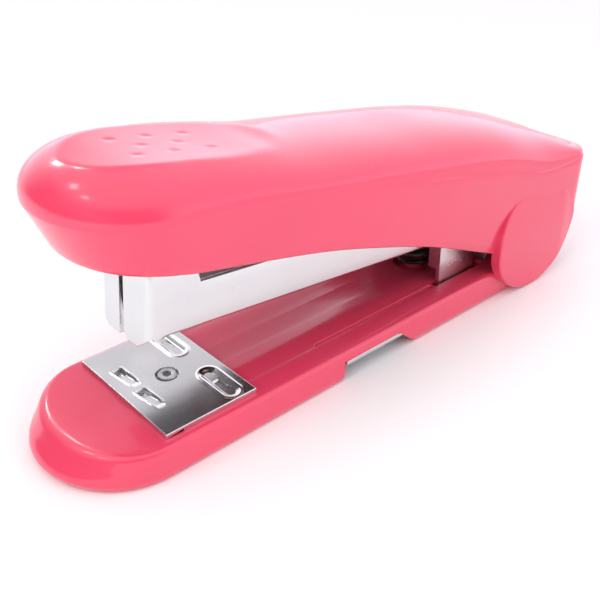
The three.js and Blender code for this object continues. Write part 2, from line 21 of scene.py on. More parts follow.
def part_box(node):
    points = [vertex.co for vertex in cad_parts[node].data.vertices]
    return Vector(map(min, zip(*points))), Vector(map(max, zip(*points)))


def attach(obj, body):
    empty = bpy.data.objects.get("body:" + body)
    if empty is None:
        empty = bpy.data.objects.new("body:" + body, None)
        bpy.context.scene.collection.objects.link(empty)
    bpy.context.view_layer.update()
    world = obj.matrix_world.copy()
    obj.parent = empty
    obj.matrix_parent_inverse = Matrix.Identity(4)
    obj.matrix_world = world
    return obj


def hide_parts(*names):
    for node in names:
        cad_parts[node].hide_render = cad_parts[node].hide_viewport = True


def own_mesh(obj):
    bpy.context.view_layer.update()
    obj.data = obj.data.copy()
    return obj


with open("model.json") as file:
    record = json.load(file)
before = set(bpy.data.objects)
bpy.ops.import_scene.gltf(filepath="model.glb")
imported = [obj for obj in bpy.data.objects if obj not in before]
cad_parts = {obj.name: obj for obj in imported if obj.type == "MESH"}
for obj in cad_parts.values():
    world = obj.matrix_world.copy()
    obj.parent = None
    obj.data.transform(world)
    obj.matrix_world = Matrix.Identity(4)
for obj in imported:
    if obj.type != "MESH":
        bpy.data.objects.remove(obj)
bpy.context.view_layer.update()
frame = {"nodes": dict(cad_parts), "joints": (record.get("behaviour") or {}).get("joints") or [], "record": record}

# %% [markdown]
# ## Where things are
#
# The drawing's zero in x is the anvil post, so its place is read from the frame. The magazine and
# the handle are drawn level about the pivot and then tilted. Both tilts can be read back too: the
# pusher slides along the magazine, so the slide's axis leans as the magazine does, and the lower
# limit of the handle's joint is the angle by which it stands open over the magazine at rest.

# %% The drawing's datum
MM = 0.001
post_low, post_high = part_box("anvil_post")
DATUM_X = (post_low[0] + post_high[0]) / 2
pin_low, pin_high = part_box("pivot_pin")
PIVOT_X = ((pin_low[0] + pin_high[0]) / 2 - DATUM_X) / MM
PIVOT_Z = (pin_low[2] + pin_high[2]) / 2 / MM
joints = {joint["name"]: joint for joint in frame["joints"]}
slide = joints["pusher_slide"]["axis"]
MAGAZINE_TILT = math.degrees(math.atan2(-slide[2], slide[0]))
HANDLE_TILT = MAGAZINE_TILT - min(joints["handle_press"]["range_deg"])
print("pivot", round(PIVOT_X, 2), round(PIVOT_Z, 2), "tilts", round(MAGAZINE_TILT, 2), round(HANDLE_TILT, 2))


def tilted(points, degrees):
    """Turns points drawn level about the pivot: x' = x cos a + z sin a and z' = z cos a - x sin a,
    nose up."""
    a = math.radians(degrees)
    x, y, z = np.moveaxis(np.asarray(points, float), -1, 0)
    turned_x = PIVOT_X + x * math.cos(a) + z * math.sin(a)
    turned_z = PIVOT_Z - x * math.sin(a) + z * math.cos(a)
    return np.stack([turned_x, y, turned_z], -1)


# %% [markdown]
# ## Camera, table and light
#
# The stapler is seen from in front of its nose and from above its right side, through a lens of 51
# mm about 10 cm above the anvil. It stands on white paper in a tent. Glossy plastic and nickel show
# mostly what they reflect, so the tent is described by direction: a bright wall behind the stapler,
# which whitens every surface seen at a shallow angle, a grey card high in that wall, which the
# anvil plate mirrors, a dim room on the viewer's side, which keeps the near colours deep, and a
# soft bright ceiling.

# %% Camera
HEADING = 48.39
LOOK_DOWN = 31.95
LENS = 50.8
CAMERA_ABOVE_ANVIL = 0.100
plate_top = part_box("anvil_plate")[1][2]
camera_data = bpy.data.cameras.new("camera")
camera_data.lens = LENS
camera_data.sensor_width = 36
camera = bpy.data.objects.new("camera", camera_data)
camera.location = (DATUM_X - 0.0688, -0.1167, plate_top + CAMERA_ABOVE_ANVIL)
camera.rotation_euler = (math.radians(90 - LOOK_DOWN), 0, math.radians(HEADING - 90))
bpy.context.scene.collection.objects.link(camera)
bpy.context.scene.camera = camera
bpy.context.scene.view_settings.view_transform = "Standard"
print("camera at", tuple(round(v, 4) for v in camera.location))

# %% [markdown]
# Three broad lamps add light without adding reflections: they are hidden from glossy rays. Four
# small ones do the opposite: only glossy rays see them, and each draws one window-like glint on the
# round nose. They hang far out, each in the direction that the nose mirrors towards the viewer.

# %% Soft lights and glints
def soft_light(light, width, height, energy, place, target=(0, 0, 0.02)):
    """Makes one rectangular area light, sizes in metres and energy in watts, that looks at a
    target."""
    data = bpy.data.lights.new(light, "AREA")
    data.shape = "RECTANGLE"
    data.size, data.size_y, data.energy = width, height, energy
    lamp = bpy.data.objects.new(light, data)
    lamp.location = place
    lamp.rotation_euler = (Vector(target) - Vector(place)).to_track_quat("-Z", "Y").to_euler()
    bpy.context.scene.collection.objects.link(lamp)
    return lamp


def sky_direction(azimuth, elevation):
    """The unit vector towards an azimuth (from +X towards +Y) and an elevation, both in degrees."""
    a, e = math.radians(azimuth), math.radians(elevation)
    return Vector((math.cos(a) * math.cos(e), math.sin(a) * math.cos(e), math.sin(e)))


for label, size, energy, place in [("key_light", 0.50, 1.6, (-0.50, 0.04, 0.42)),
                                   ("side_light", 0.45, 0.8, (0.05, -0.55, 0.26)),
                                   ("front_fill", 0.30, 0.55, (-0.45, -0.16, 0.13))]:
    soft_light(label, size, size, energy, place).visible_glossy = False

GLINT_DISTANCE = 0.60
nose = Vector((DATUM_X - 0.012, 0, 0.050))
for number, (azimuth, elevation, width, height, energy) in enumerate([(84, 32, 0.05, 0.07, 0.16),
                                                                      (78, 42, 0.05, 0.05, 0.10),
                                                                      (120, 57, 0.09, 0.05, 0.12),
                                                                      (161, 60, 0.06, 0.05, 0.09)]):
    place = nose + GLINT_DISTANCE * sky_direction(azimuth, elevation)
    soft_light(f"glint_{number}", width, height, energy, place, nose).visible_diffuse = False

# %% The table
TABLE_SIDE = 2.0
corner = TABLE_SIDE * np.array([(-1, -1, 0), (1, -1, 0), (1, 1, 0), (-1, 1, 0)])
floor_mesh = bpy.data.meshes.new("floor")
floor_mesh.from_pydata(corner.tolist(), [], [(0, 1, 2, 3)])
floor = bpy.data.objects.new("floor", floor_mesh)
bpy.context.scene.collection.objects.link(floor)
paper = bpy.data.materials.new("white_paper")
paper.use_nodes = True
paper.node_tree.nodes["Principled BSDF"].inputs["Base Color"].default_value = (0.93, 0.93, 0.935, 1)
paper.node_tree.nodes["Principled BSDF"].inputs["Roughness"].default_value = 0.75
floor_mesh.materials.append(paper)
print("table", TABLE_SIDE * 2, "m wide")

# %% [markdown]
# The tent is the world shader. Two ramps over the height of the ray give the brightness of the
# viewer's side and of the far side, in shares of the brightest value, and a mask over the heading
# blends them. Rays that go straight from the camera to the tent see plain white, as the paper
# curves up behind the stapler in every view.

# %% The tent
TENT_PEAK = 2.0
world = bpy.data.worlds.new("white_tent")
world.use_nodes = True
tent = world.node_tree
ray = tent.nodes.new("ShaderNodeTexCoord").outputs["Generated"]


def add_node(tree, kind, settings=None, **inputs):
    """Adds a node, sets its properties, and feeds each input, by name or by number as in i0, from a
    socket or a plain value."""
    node = tree.nodes.new("ShaderNode" + kind)
    for key, value in (settings or {}).items():
        setattr(node, key, value)
    for key, value in inputs.items():
        socket = node.inputs[int(key[1:])] if key[0] == "i" and key[1:].isdigit() else node.inputs[key]
        if isinstance(value, bpy.types.NodeSocket):
            tree.links.new(value, socket)
        else:
            socket.default_value = value
    return node


def between(tree, value, low, high):
    """A mask that climbs from 0 at low to 1 at high."""
    settings = {"interpolation_type": "SMOOTHSTEP"}
    return add_node(tree, "MapRange", settings, i0=value, i1=low, i2=high, i3=0.0, i4=1.0).outputs[0]


def math_node(tree, operation, first, second):
    """One arithmetic step on two sockets or values."""
    return add_node(tree, "Math", {"operation": operation}, i0=first, i1=second).outputs[0]


def mixed(tree, share, first, second):
    """A colour between two colours, by a share from 0 to 1."""
    return add_node(tree, "Mix", {"data_type": "RGBA"}, i0=share, i6=first, i7=second).outputs[2]


def towards(azimuth, elevation, low, high):
    """A mask that climbs from 0 to 1 as the cosine between the ray and a direction goes from low to
    high."""
    centre = sky_direction(azimuth, elevation)
    cosine = add_node(tent, "VectorMath", {"operation": "DOT_PRODUCT"}, i0=ray, i1=centre)
    return between(tent, cosine.outputs["Value"], low, high)


def height_ramp(height, stops, tint=(1, 1, 1)):
    """Brightness over the height of the ray, from (sine of the elevation, share of the peak) stops;
    the lowest stops take the tint and the highest stays white."""
    ramp = add_node(tent, "ValToRGB", i0=height)
    ramp.color_ramp.elements.remove(ramp.color_ramp.elements[0])
    ramp.color_ramp.elements[0].position = stops[0][0]
    for place, share in stops:
        stop = ramp.color_ramp.elements[0] if place == stops[0][0] else ramp.color_ramp.elements.new(place)
        stop.color = (*(share * (place + (1 - place) * channel) for channel in tint), 1)
    return ramp.outputs["Color"]


height = add_node(tent, "SeparateXYZ", i0=ray).outputs["Z"]
near_side = height_ramp(height, [(0.0, 0.04), (0.60, 0.08), (0.85, 0.54), (1.0, 0.64)])
far_stops = [(0.0, 1.0), (0.12, 0.88), (0.42, 0.70), (0.60, 0.64), (1.0, 0.64)]
far_side = height_ramp(height, far_stops, tint=(0.97, 0.87, 1.0))
room = mixed(tent, towards(15, 0, -0.35, 0.40), near_side, far_side)
card = math_node(tent, "MULTIPLY", towards(62, 39, 0.93, 0.985), 0.40)
darker = mixed(tent, card, room, (0, 0, 0, 1))
seen = tent.nodes.new("ShaderNodeLightPath").outputs["Is Camera Ray"]
plain = mixed(tent, seen, darker, (1 / TENT_PEAK, 1 / TENT_PEAK, 1 / TENT_PEAK, 1))
tent.links.new(plain, tent.nodes["Background"].inputs["Color"])
tent.nodes["Background"].inputs["Strength"].default_value = TENT_PEAK
bpy.context.scene.world = world
print("tent with", len(tent.nodes), "nodes, peak", TENT_PEAK)

# %% [markdown]
# ## Tools for surfaces
#
# Every new piece is a sheet of points worked out with whole numpy arrays: rows run one way over the
# surface and columns the other. The helpers below number the faces of such a sheet, join several
# sheets into one mesh, and put it into the scene in metres. Points that coincide are merged and the
# normals of each closed skin are made to face outwards, so the order of rows and columns never
# matters.

# %% Faces of a sheet and a piece made of sheets
def sheet_faces(points, wrap=False):
    """Quads between neighbouring rows and columns of an array (rows, columns, 3); wrap joins last
    to first."""
    rows, columns = points.shape[:2]
    i = np.arange(rows - 1)[:, None]
    j = np.arange(columns if wrap else columns - 1)[None, :]
    a = i * columns + j
    b = i * columns + (j + 1) % columns
    return np.stack([a, b, b + columns, a + columns], -1).reshape(-1, 4)


def sheet(points, wrap=False):
    """A sheet as its flat list of points and its faces."""
    return points.reshape(-1, 3), sheet_faces(points, wrap).tolist()


def put_piece(piece_name, sheets, body, slot_name, nodes=(), finish_name=None, smooth_angle=32):
    """Joins sheets into one mesh in metres, merges, faces it outwards, and hands it to its CAD
    body."""
    points, faces, first = [], [], 0
    for sheet_points, sheet_quads in sheets:
        points.append(sheet_points)
        faces += [[index + first for index in quad] for quad in sheet_quads]
        first += len(sheet_points)
    metres = np.concatenate(points) * MM + np.array([DATUM_X, 0, 0])
    mesh = bpy.data.meshes.new(piece_name)
    mesh.from_pydata(metres.tolist(), [], faces)
    skin = bmesh.new()
    skin.from_mesh(mesh)
    bmesh.ops.remove_doubles(skin, verts=skin.verts, dist=2e-6)
    bmesh.ops.dissolve_degenerate(skin, edges=skin.edges, dist=1e-7)
    bmesh.ops.recalc_face_normals(skin, faces=skin.faces)
    skin.to_mesh(mesh)
    skin.free()
    return dress(piece_name, mesh, body, slot_name, nodes, finish_name, smooth_angle)


def dress(piece_name, mesh, body, slot_name, nodes, finish_name, smooth_angle):
    """Gives a mesh its object, its body and a finish, by default the slot's, and hides the CAD
    nodes that it stands for."""
    mesh.materials.clear()
    mesh.materials.append(finishes[finish_name or slot_finish[slot_name]])
    mesh.shade_smooth()
    mesh.set_sharp_from_angle(angle=math.radians(smooth_angle))
    piece = bpy.data.objects.new(piece_name, mesh)
    bpy.context.scene.collection.objects.link(piece)
    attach(piece, body)
    if nodes:
        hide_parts(*nodes)
    print(piece_name, len(mesh.polygons), "faces")
    return piece


# %% Curves through points, lathed shapes and wires
def through(points):
    """A Catmull-Rom curve through (x, z) points, read as height over x."""
    p = np.array(points, float)
    ends = np.vstack([2 * p[0] - p[1], p, 2 * p[-1] - p[-2]])
    t = np.linspace(0, len(p) - 1, 600)
    i = np.minimum(t.astype(int), len(p) - 2)
    f = (t - i)[:, None]
    a, b, c, d = ends[i], ends[i + 1], ends[i + 2], ends[i + 3]
    curve = (2 * b + (c - a) * f + (2 * a - 5 * b + 4 * c - d) * f**2 + (3 * b - a - 3 * c + d) * f**3) / 2
    return lambda x: np.interp(x, curve[:, 0], curve[:, 1])


def smooth(x, low, high):
    """A step from 0 to 1 between low and high: t t (3 - 2 t)."""
    t = np.clip((x - low) / (high - low), 0, 1)
    return t * t * (3 - 2 * t)


def lathed(profile, centre, axis="z", sides=48):
    """Turns a profile of (radius, height) about an axis through centre: each row is a ring of that
    radius."""
    r, h = np.array(profile, float).T
    turn = np.linspace(0, 2 * np.pi, sides, endpoint=False)
    across, along = r[:, None] * np.cos(turn), h[:, None] + 0 * turn
    other = r[:, None] * np.sin(turn)
    order = {"z": (across, other, along), "y": (across, along, other), "x": (along, across, other)}[axis]
    return sheet(np.stack(order, -1) + np.array(centre, float), wrap=True)


def rounded_profile(corners, radius, steps=4):
    """Rounds the inner corners of a (radius, height) profile with short arcs from one side to the
    other."""
    p = np.array(corners, float)
    before, here, after = p[:-2], p[1:-1], p[2:]
    unit = lambda v: v / np.maximum(np.linalg.norm(v, axis=1, keepdims=True), 1e-9)
    reach = np.minimum(np.linalg.norm(before - here, axis=1), np.linalg.norm(after - here, axis=1))[:, None]
    reach = np.minimum(radius, reach * 0.45)
    start, end = here + unit(before - here) * reach, here + unit(after - here) * reach
    t = np.linspace(0, 1, steps + 1)[None, :, None]
    arc = (1 - t) ** 2 * start[:, None] + 2 * t * (1 - t) * here[:, None] + t**2 * end[:, None]
    return np.vstack([p[:1], arc.reshape(-1, 2), p[-1:]])


def wire(path, radius, sides=10):
    """A round wire along a path: rings at right angles to the path's tangent, closed with a point
    at each end."""
    path = np.asarray(path, float)
    tangent = np.gradient(path, axis=0)
    tangent /= np.linalg.norm(tangent, axis=1, keepdims=True)
    steady = np.array([0.0, 0.0, 1.0]) if abs(tangent[:, 2]).max() < 0.9 else np.array([0.3, 0.9, 0.1])
    side = np.cross(tangent, steady)
    side /= np.linalg.norm(side, axis=1, keepdims=True)
    up = np.cross(side, tangent)
    turn = np.linspace(0, 2 * np.pi, sides, endpoint=False)[:, None]
    size = np.full(len(path), radius)
    size[[0, -1]] = 0.0
    path = path.copy()
    path[0] -= 0.3 * radius * tangent[0]
    path[-1] += 0.3 * radius * tangent[-1]
    ring = np.cos(turn) * side[:, None] + np.sin(turn) * up[:, None]
    return sheet(path[:, None] + size[:, None, None] * ring, wrap=True)


def band_of(outline, low, high, edge, plane="xy", at_tilt=None, inset_steps=3):
    """A flat plate from a closed outline: the outline shrinks by the edge radius over each rounded
    rim, and the two faces are filled. plane names the outline's two axes; the third runs from low
    to high."""
    p = np.array(outline, float)
    ahead, behind = np.roll(p, -1, 0) - p, p - np.roll(p, 1, 0)
    length = lambda d: np.maximum(np.linalg.norm(d, axis=1, keepdims=True), 1e-9)
    normal = lambda d: np.stack([d[:, 1], -d[:, 0]], 1) / length(d)
    out = normal(ahead) + normal(behind)
    out /= np.maximum((out * out).sum(1, keepdims=True) / 2, 0.35)
    area = (p[:, 0] * np.roll(p[:, 1], -1) - p[:, 1] * np.roll(p[:, 0], -1)).sum()
    out *= np.sign(area)
    t = np.linspace(0, np.pi / 2, inset_steps + 1)
    inset = np.concatenate([edge * (1 - np.sin(t)), edge * (1 - np.cos(t))])
    level = np.concatenate([low + edge * (1 - np.cos(t)), high - edge * (1 - np.sin(t))])
    rings = p[None] - out[None] * inset[:, None, None]
    third = level[:, None] + 0 * rings[..., 0]
    axes = {"xy": (rings[..., 0], rings[..., 1], third), "xz": (rings[..., 0], third, rings[..., 1])}[plane]
    skin = np.stack(axes, -1)
    if at_tilt is not None:
        skin = tilted(skin, at_tilt)
    points, faces = sheet(skin, wrap=True)
    count = len(p)
    fill = tessellate_polygon([[Vector((x, y, 0)) for x, y in rings[0]]])
    faces += [list(triangle) for triangle in fill]
    last = (len(level) - 1) * count
    faces += [[last + index for index in triangle] for triangle in fill]
    return points, faces


print("tools ready")
# %% [markdown]
# ## Finishes
#
# Four effects turn up in many finishes, so each is a node group that is built once: fine grain that
# only bends the light, smudges and hair scratches from handling, wear on edges, and dust that
# settles on faces that look up. A group hands out masks and heights only. The shader itself stays
# in each material, where every value that is the same all over is set on the shader's own socket.

# %% Making a node group
def new_group(group_name, numbers, outputs):
    """A shader node group with the named number inputs, its Object coordinates, and the named
    outputs."""
    group = bpy.data.node_groups.new(group_name, "ShaderNodeTree")
    for label, value in numbers.items():
        group.interface.new_socket(label, in_out="INPUT", socket_type="NodeSocketFloat").default_value = value
    for label in outputs:
        group.interface.new_socket(label, in_out="OUTPUT", socket_type="NodeSocketFloat")
    start, end = group.nodes.new("NodeGroupInput"), group.nodes.new("NodeGroupOutput")
    return group, start, end, group.nodes.new("ShaderNodeTexCoord")


# %% Group: fine grain
grain, start, end, place = new_group("fine_grain", {"Scale": 500.0, "Stretch": 1.0}, ["Height", "Cloud"])
stretch = add_node(grain, "CombineXYZ", i0=start.outputs["Stretch"], i1=1.0, i2=1.0)
mapping = add_node(grain, "Mapping", Vector=place.outputs["Object"], Scale=stretch.outputs[0])
fine = add_node(grain, "TexNoise", Vector=mapping.outputs[0], Scale=start.outputs["Scale"], Detail=4.0)
coarse_scale = math_node(grain, "MULTIPLY", start.outputs["Scale"], 0.12)
coarse = add_node(grain, "TexNoise", Vector=mapping.outputs[0], Scale=coarse_scale, Detail=2.0)
grain.links.new(fine.outputs["Fac"], end.inputs["Height"])
grain.links.new(coarse.outputs["Fac"], end.inputs["Cloud"])
print("group", grain.name)

# %% [markdown]
# Handling marks are two things at once: broad smudges, where skin oil dulls the gloss, and hair
# scratches. A scratch is a cell border of a stretched Voronoi pattern, kept only where a coarse
# noise allows it, so that the lines start and stop instead of closing into cells.

# %% Group: handling marks
marks, start, end, place = new_group("handling_marks", {"Scale": 60.0, "Lines": 0.5}, ["Smudge", "Scratch"])
smudge = add_node(marks, "TexNoise", Vector=place.outputs["Object"], Scale=start.outputs["Scale"], Detail=5.0)
marks.links.new(between(marks, smudge.outputs["Fac"], 0.45, 0.75), end.inputs["Smudge"])
slanted = add_node(marks, "Mapping", Vector=place.outputs["Object"], Rotation=(0.3, 0.5, 0.9),
                   Scale=(1.0, 7.0, 3.0))
cells = add_node(marks, "TexVoronoi", {"feature": "DISTANCE_TO_EDGE"}, Vector=slanted.outputs[0], Scale=70.0)
line = between(marks, cells.outputs["Distance"], 0.012, 0.0)
patch = add_node(marks, "TexNoise", Vector=place.outputs["Object"], Scale=130.0, Detail=1.0)
kept = between(marks, patch.outputs["Fac"], 0.56, 0.64)
drawn = math_node(marks, "MULTIPLY", math_node(marks, "MULTIPLY", line, kept), start.outputs["Lines"])
marks.links.new(drawn, end.inputs["Scratch"])
print("group", marks.name)

# %% Group: edge wear
wear, start, end, place = new_group("edge_wear", {"Amount": 0.5, "Breakup": 300.0}, ["Mask"])
shape = add_node(wear, "NewGeometry")
edge = between(wear, shape.outputs["Pointiness"], 0.52, 0.60)
breakup = add_node(wear, "TexNoise", Vector=place.outputs["Object"], Scale=start.outputs["Breakup"],
                   Detail=3.0)
broken = math_node(wear, "MULTIPLY", edge, between(wear, breakup.outputs["Fac"], 0.35, 0.65))
wear.links.new(math_node(wear, "MULTIPLY", broken, start.outputs["Amount"]), end.inputs["Mask"])
print("group", wear.name)

# %% Group: settled dust
dust, start, end, place = new_group("settled_dust", {"Amount": 0.3}, ["Mask"])
shape = add_node(dust, "NewGeometry")
facing = add_node(dust, "SeparateXYZ", i0=shape.outputs["Normal"])
upward = between(dust, facing.outputs["Z"], 0.55, 0.98)
specks = add_node(dust, "TexVoronoi", Vector=place.outputs["Object"], Scale=420.0)
speck = between(dust, specks.outputs["Distance"], 0.10, 0.04)
cloud = add_node(dust, "TexNoise", Vector=place.outputs["Object"], Scale=90.0, Detail=4.0)
veil = math_node(dust, "MULTIPLY", between(dust, cloud.outputs["Fac"], 0.45, 0.8), 0.35)
settled = math_node(dust, "MULTIPLY", math_node(dust, "MAXIMUM", speck, veil), upward)
dust.links.new(math_node(dust, "MULTIPLY", settled, start.outputs["Amount"]), end.inputs["Mask"])
print("group", dust.name)

# %% [markdown]
# A finish is put together from those groups in one function, because all of them answer the same
# questions: what colour is it, what does wear uncover, how rough is it when clean and where it was
# touched, and how coarse is its grain. What sets plastic, plate, wire and rubber apart is then a
# short list of values, as on a paint card.

# %% One function for every finish
DUST_GREY, CLOUD_SHADE, COAT_ROUGHNESS = (0.62, 0.60, 0.57), 0.86, 0.06


def finish(title, colour, worn, rough, grain_scale, grain_depth, cloudy, metal=0.0, stretch_x=1.0,
           smudged=0.1, lines=0.5, worn_edges=0.5, dusty=0.2, coat=0.0, shine=0.5, under=1.0):
    """A Principled material. Base colour goes to worn on edges and scratches and to grey under
    dust; roughness grows with smudges, scratches, cloud and dust; the grain bends the normal over
    grain_depth millimetres. Faces that look straight down keep the share under of their brightness:
    a painted shade that stands for the shadow under the part."""
    material = bpy.data.materials.new(title)
    material.use_nodes = True
    tree = material.node_tree
    shader = tree.nodes["Principled BSDF"]

    def use(group, **values):
        node = tree.nodes.new("ShaderNodeGroup")
        node.node_tree = group
        for label, value in values.items():
            node.inputs[label].default_value = value
        return node

    texture = use(grain, Scale=grain_scale, Stretch=stretch_x)
    touch = use(marks, Scale=55.0, Lines=lines)
    rubbed = use(wear, Amount=worn_edges)
    settled = use(dust, Amount=dusty)

    bared = math_node(tree, "MAXIMUM", touch.outputs["Scratch"], rubbed.outputs["Mask"])
    shade = tuple(CLOUD_SHADE * value for value in colour)
    tone = mixed(tree, texture.outputs["Cloud"], (*colour, 1), (*shade, 1))
    bare = mixed(tree, bared, tone, (*worn, 1))
    # Painted shade: faces that look down are darkened to the share under of their colour, in place of the shadow
    # under the part.
    if under < 1:
        facing = add_node(tree, "SeparateXYZ", i0=tree.nodes.new("ShaderNodeNewGeometry").outputs["Normal"])
        below = between(tree, facing.outputs["Z"], -0.75, -0.97)
        underside_painted_shade = tuple(under * value for value in colour)
        bare = mixed(tree, below, bare, (*underside_painted_shade, 1))
    covered = mixed(tree, settled.outputs["Mask"], bare, (*DUST_GREY, 1))
    tree.links.new(covered, shader.inputs["Base Color"])

    dull = math_node(tree, "MULTIPLY", touch.outputs["Smudge"], smudged)
    dull = math_node(tree, "ADD", dull, math_node(tree, "MULTIPLY", texture.outputs["Cloud"], cloudy))
    dull = math_node(tree, "ADD", dull, math_node(tree, "MULTIPLY", bared, 0.18))
    dull = math_node(tree, "ADD", dull, math_node(tree, "MULTIPLY", settled.outputs["Mask"], 0.5))
    tree.links.new(math_node(tree, "ADD", dull, rough), shader.inputs["Roughness"])
    if metal:
        clean = math_node(tree, "SUBTRACT", 1.0, settled.outputs["Mask"])
        tree.links.new(math_node(tree, "MULTIPLY", clean, metal), shader.inputs["Metallic"])

    relief = math_node(tree, "SUBTRACT", texture.outputs["Height"], math_node(tree, "MULTIPLY", bared, 0.6))
    bump = add_node(tree, "Bump", Strength=0.6, Distance=grain_depth * MM, Height=relief)
    tree.links.new(bump.outputs["Normal"], shader.inputs["Normal"])
    shader.inputs["Coat Weight"].default_value = coat
    shader.inputs["Coat Roughness"].default_value = COAT_ROUGHNESS
    shader.inputs["Specular IOR Level"].default_value = shine
    return material


# %% The paint card
paint_card = {
    "glossy_pink": dict(colour=(0.86, 0.060, 0.135), worn=(0.90, 0.16, 0.24), rough=0.17, grain_scale=260,
                        grain_depth=0.012, cloudy=0.03, smudged=0.08, lines=0.10, worn_edges=0.2, dusty=0.06,
                        coat=0.4),
    # nickel_sheet's under=0.10 paints shade onto every face that looks down.
    "nickel_sheet": dict(colour=(0.80, 0.81, 0.82), worn=(0.62, 0.60, 0.57), rough=0.17, grain_scale=900,
                         grain_depth=0.006, cloudy=0.10, metal=1.0, stretch_x=0.06, lines=0.18,
                         worn_edges=0.3, dusty=0.05, under=0.10),
    "nickel_anvil": dict(colour=(0.80, 0.805, 0.81), worn=(0.55, 0.53, 0.50), rough=0.16, grain_scale=800,
                         grain_depth=0.008, cloudy=0.08, metal=1.0, lines=0.22, worn_edges=0.4, dusty=0.06),
    "zinc_plate": dict(colour=(0.66, 0.67, 0.69), worn=(0.45, 0.42, 0.38), rough=0.28, grain_scale=420,
                       grain_depth=0.010, cloudy=0.22, metal=1.0, smudged=0.12, lines=0.6, worn_edges=0.6),
    "hard_steel": dict(colour=(0.26, 0.26, 0.27), worn=(0.58, 0.57, 0.56), rough=0.30, grain_scale=1100,
                       grain_depth=0.010, cloudy=0.12, metal=1.0, stretch_x=0.08, smudged=0.15, lines=0.9,
                       worn_edges=0.9, dusty=0.1),
    "black_wire": dict(colour=(0.030, 0.029, 0.028), worn=(0.34, 0.32, 0.30), rough=0.24, grain_scale=700,
                       grain_depth=0.008, cloudy=0.10, metal=0.6, worn_edges=0.7, dusty=0.1),
    "black_acetal": dict(colour=(0.022, 0.022, 0.024), worn=(0.10, 0.10, 0.10), rough=0.38, grain_scale=600,
                         grain_depth=0.02, cloudy=0.10),
    "staple_wire": dict(colour=(0.62, 0.63, 0.65), worn=(0.78, 0.77, 0.75), rough=0.26, grain_scale=1500,
                        grain_depth=0.006, cloudy=0.14, metal=1.0, lines=0.4, dusty=0.05),
    "soft_rubber": dict(colour=(0.035, 0.035, 0.037), worn=(0.11, 0.11, 0.11), rough=0.72, grain_scale=1300,
                        grain_depth=0.05, cloudy=0.12, lines=0.2, dusty=0.5, shine=0.35),
}
finishes = {title: finish(title, **values) for title, values in paint_card.items()}
slot_finish = {"pink_plastic": "glossy_pink", "zinc_steel": "zinc_plate", "nickel_steel": "nickel_sheet",
               "dark_steel": "hard_steel", "black_steel": "black_wire", "black_plastic": "black_acetal",
               "staple_wire": "staple_wire", "rubber": "soft_rubber"}
print(len(finishes), "finishes")

# %% [markdown]
# ## The handle
#
# The handle is one glossy moulding: a round nose, a long back that falls to the pivot, a flat oval
# for the thumb with eight shallow dimples, side walls that lean in below a soft crease, and a round
# cheek over each end of the pivot. A box of patches could be pushed about until it fits, but then
# nothing says what the shape is. Here each column of the sheet starts on the spine and runs out to
# one point of the crease in plan, then down the wall to the hem. Round the nose and the rear end
# the columns fan out from one point of the spine.

# %% Curves that define the handle
NOSE_TIP, NOSE_CENTRE, FAN_REAR, COVER_REAR, REAR_CORNER = -21.3, -5.0, 98.0, 113.5, 5.0
COVER_WALL = 1.9
thumb = through([(-24, 56.7), (-18, 57.0), (-10, 57.1), (-4, 56.6), (3, 55.5), (10, 54.2), (18, 52.8),
                 (23, 51.9), (26.5, 51.9), (31, 54), (40, 62), (50, 70), (120, 90)])
back = through([(-21.5, 57.9), (-5, 57.9), (2, 57.0), (10, 55.6), (18, 53.7), (26, 51.6), (34, 50.0),
                (51, 47.3), (68, 44.7), (82, 41.9), (93, 39.0), (103, 35.4), (109, 32.6), (113.5, 30.8)])
crease = through([(-21.5, 50.0), (-9, 49.6), (6, 48.7), (24, 45.9), (39, 43.0), (50, 40.7), (67, 37.2),
                  (77, 34.9), (88, 31.8), (96, 30.2), (104, 29.8), (110, 30.2), (113.5, 30.6)])
hem = through([(-21.5, 42.0), (-18, 41.6), (-14, 41.2), (-9.5, 40.6), (-5, 39.6), (0, 38.3), (19, 34.5),
               (30, 32), (41.5, 28.6), (54.5, 24.2), (64.2, 20.2), (75, 15.4), (84, 11.8), (89, 12.6),
               (94, 16.4), (99, 17.2), (104, 15.0), (109, 13.6), (113.5, 13.4)])


def cover_half_width(x):
    """Half the width at the crease: 17.8 at the nose, growing to 18.2."""
    return 17.8 + 0.4 * smooth(x, 0, 60)


def half_plan():
    """Points of the crease in plan from the nose tip to the middle of the rear, on the -Y side."""
    turn = np.linspace(0, np.pi / 2, 49)
    nose_x = NOSE_CENTRE - (NOSE_CENTRE - NOSE_TIP) * np.cos(turn)
    nose = np.stack([nose_x, -cover_half_width(0) * np.sin(turn)], 1)
    thumb_x = np.arange(NOSE_CENTRE + 0.35, 16, 0.35)
    x = np.concatenate([thumb_x, np.linspace(16.2, COVER_REAR - REAR_CORNER, 84)])
    side = np.stack([x, -cover_half_width(x)], 1)
    turn = np.linspace(0, np.pi / 2, 12)[1:]
    corner_x = COVER_REAR - REAR_CORNER * (1 - np.sin(turn))
    corner_y = -cover_half_width(COVER_REAR) + REAR_CORNER * (1 - np.cos(turn))
    y = np.linspace(corner_y[-1], 0, 14)[1:]
    return np.vstack([nose, side, np.stack([corner_x, corner_y], 1), np.stack([0 * y + COVER_REAR, y], 1)])


near_plan = half_plan()
plan = np.vstack([near_plan, (near_plan * [1, -1])[-2:0:-1]])
print("plan of the crease has", len(plan), "columns")

# %% [markdown]
# The back is a superellipse from the spine to the crease: its height falls as (1 - r^n)^(1/n) while
# r goes from 0 to 1. The thumb oval is what is left when that crown is cut by a second surface that
# only bends lengthwise. A smooth minimum joins the two and leaves a rim that is crisp but not
# sharp, just as a polished mould does.

# %% Height of the back
THUMB_DISH, RIM_SOFTNESS, DIMPLE_DEPTH, DIMPLE_RADIUS = 0.30, 0.20, 0.13, 0.85
dimples = [(x, y) for x in (-3.8, 3.2, 10.6) for y in (-4.4, 4.4)] + [(-0.4, 0.0), (6.8, 0.0)]


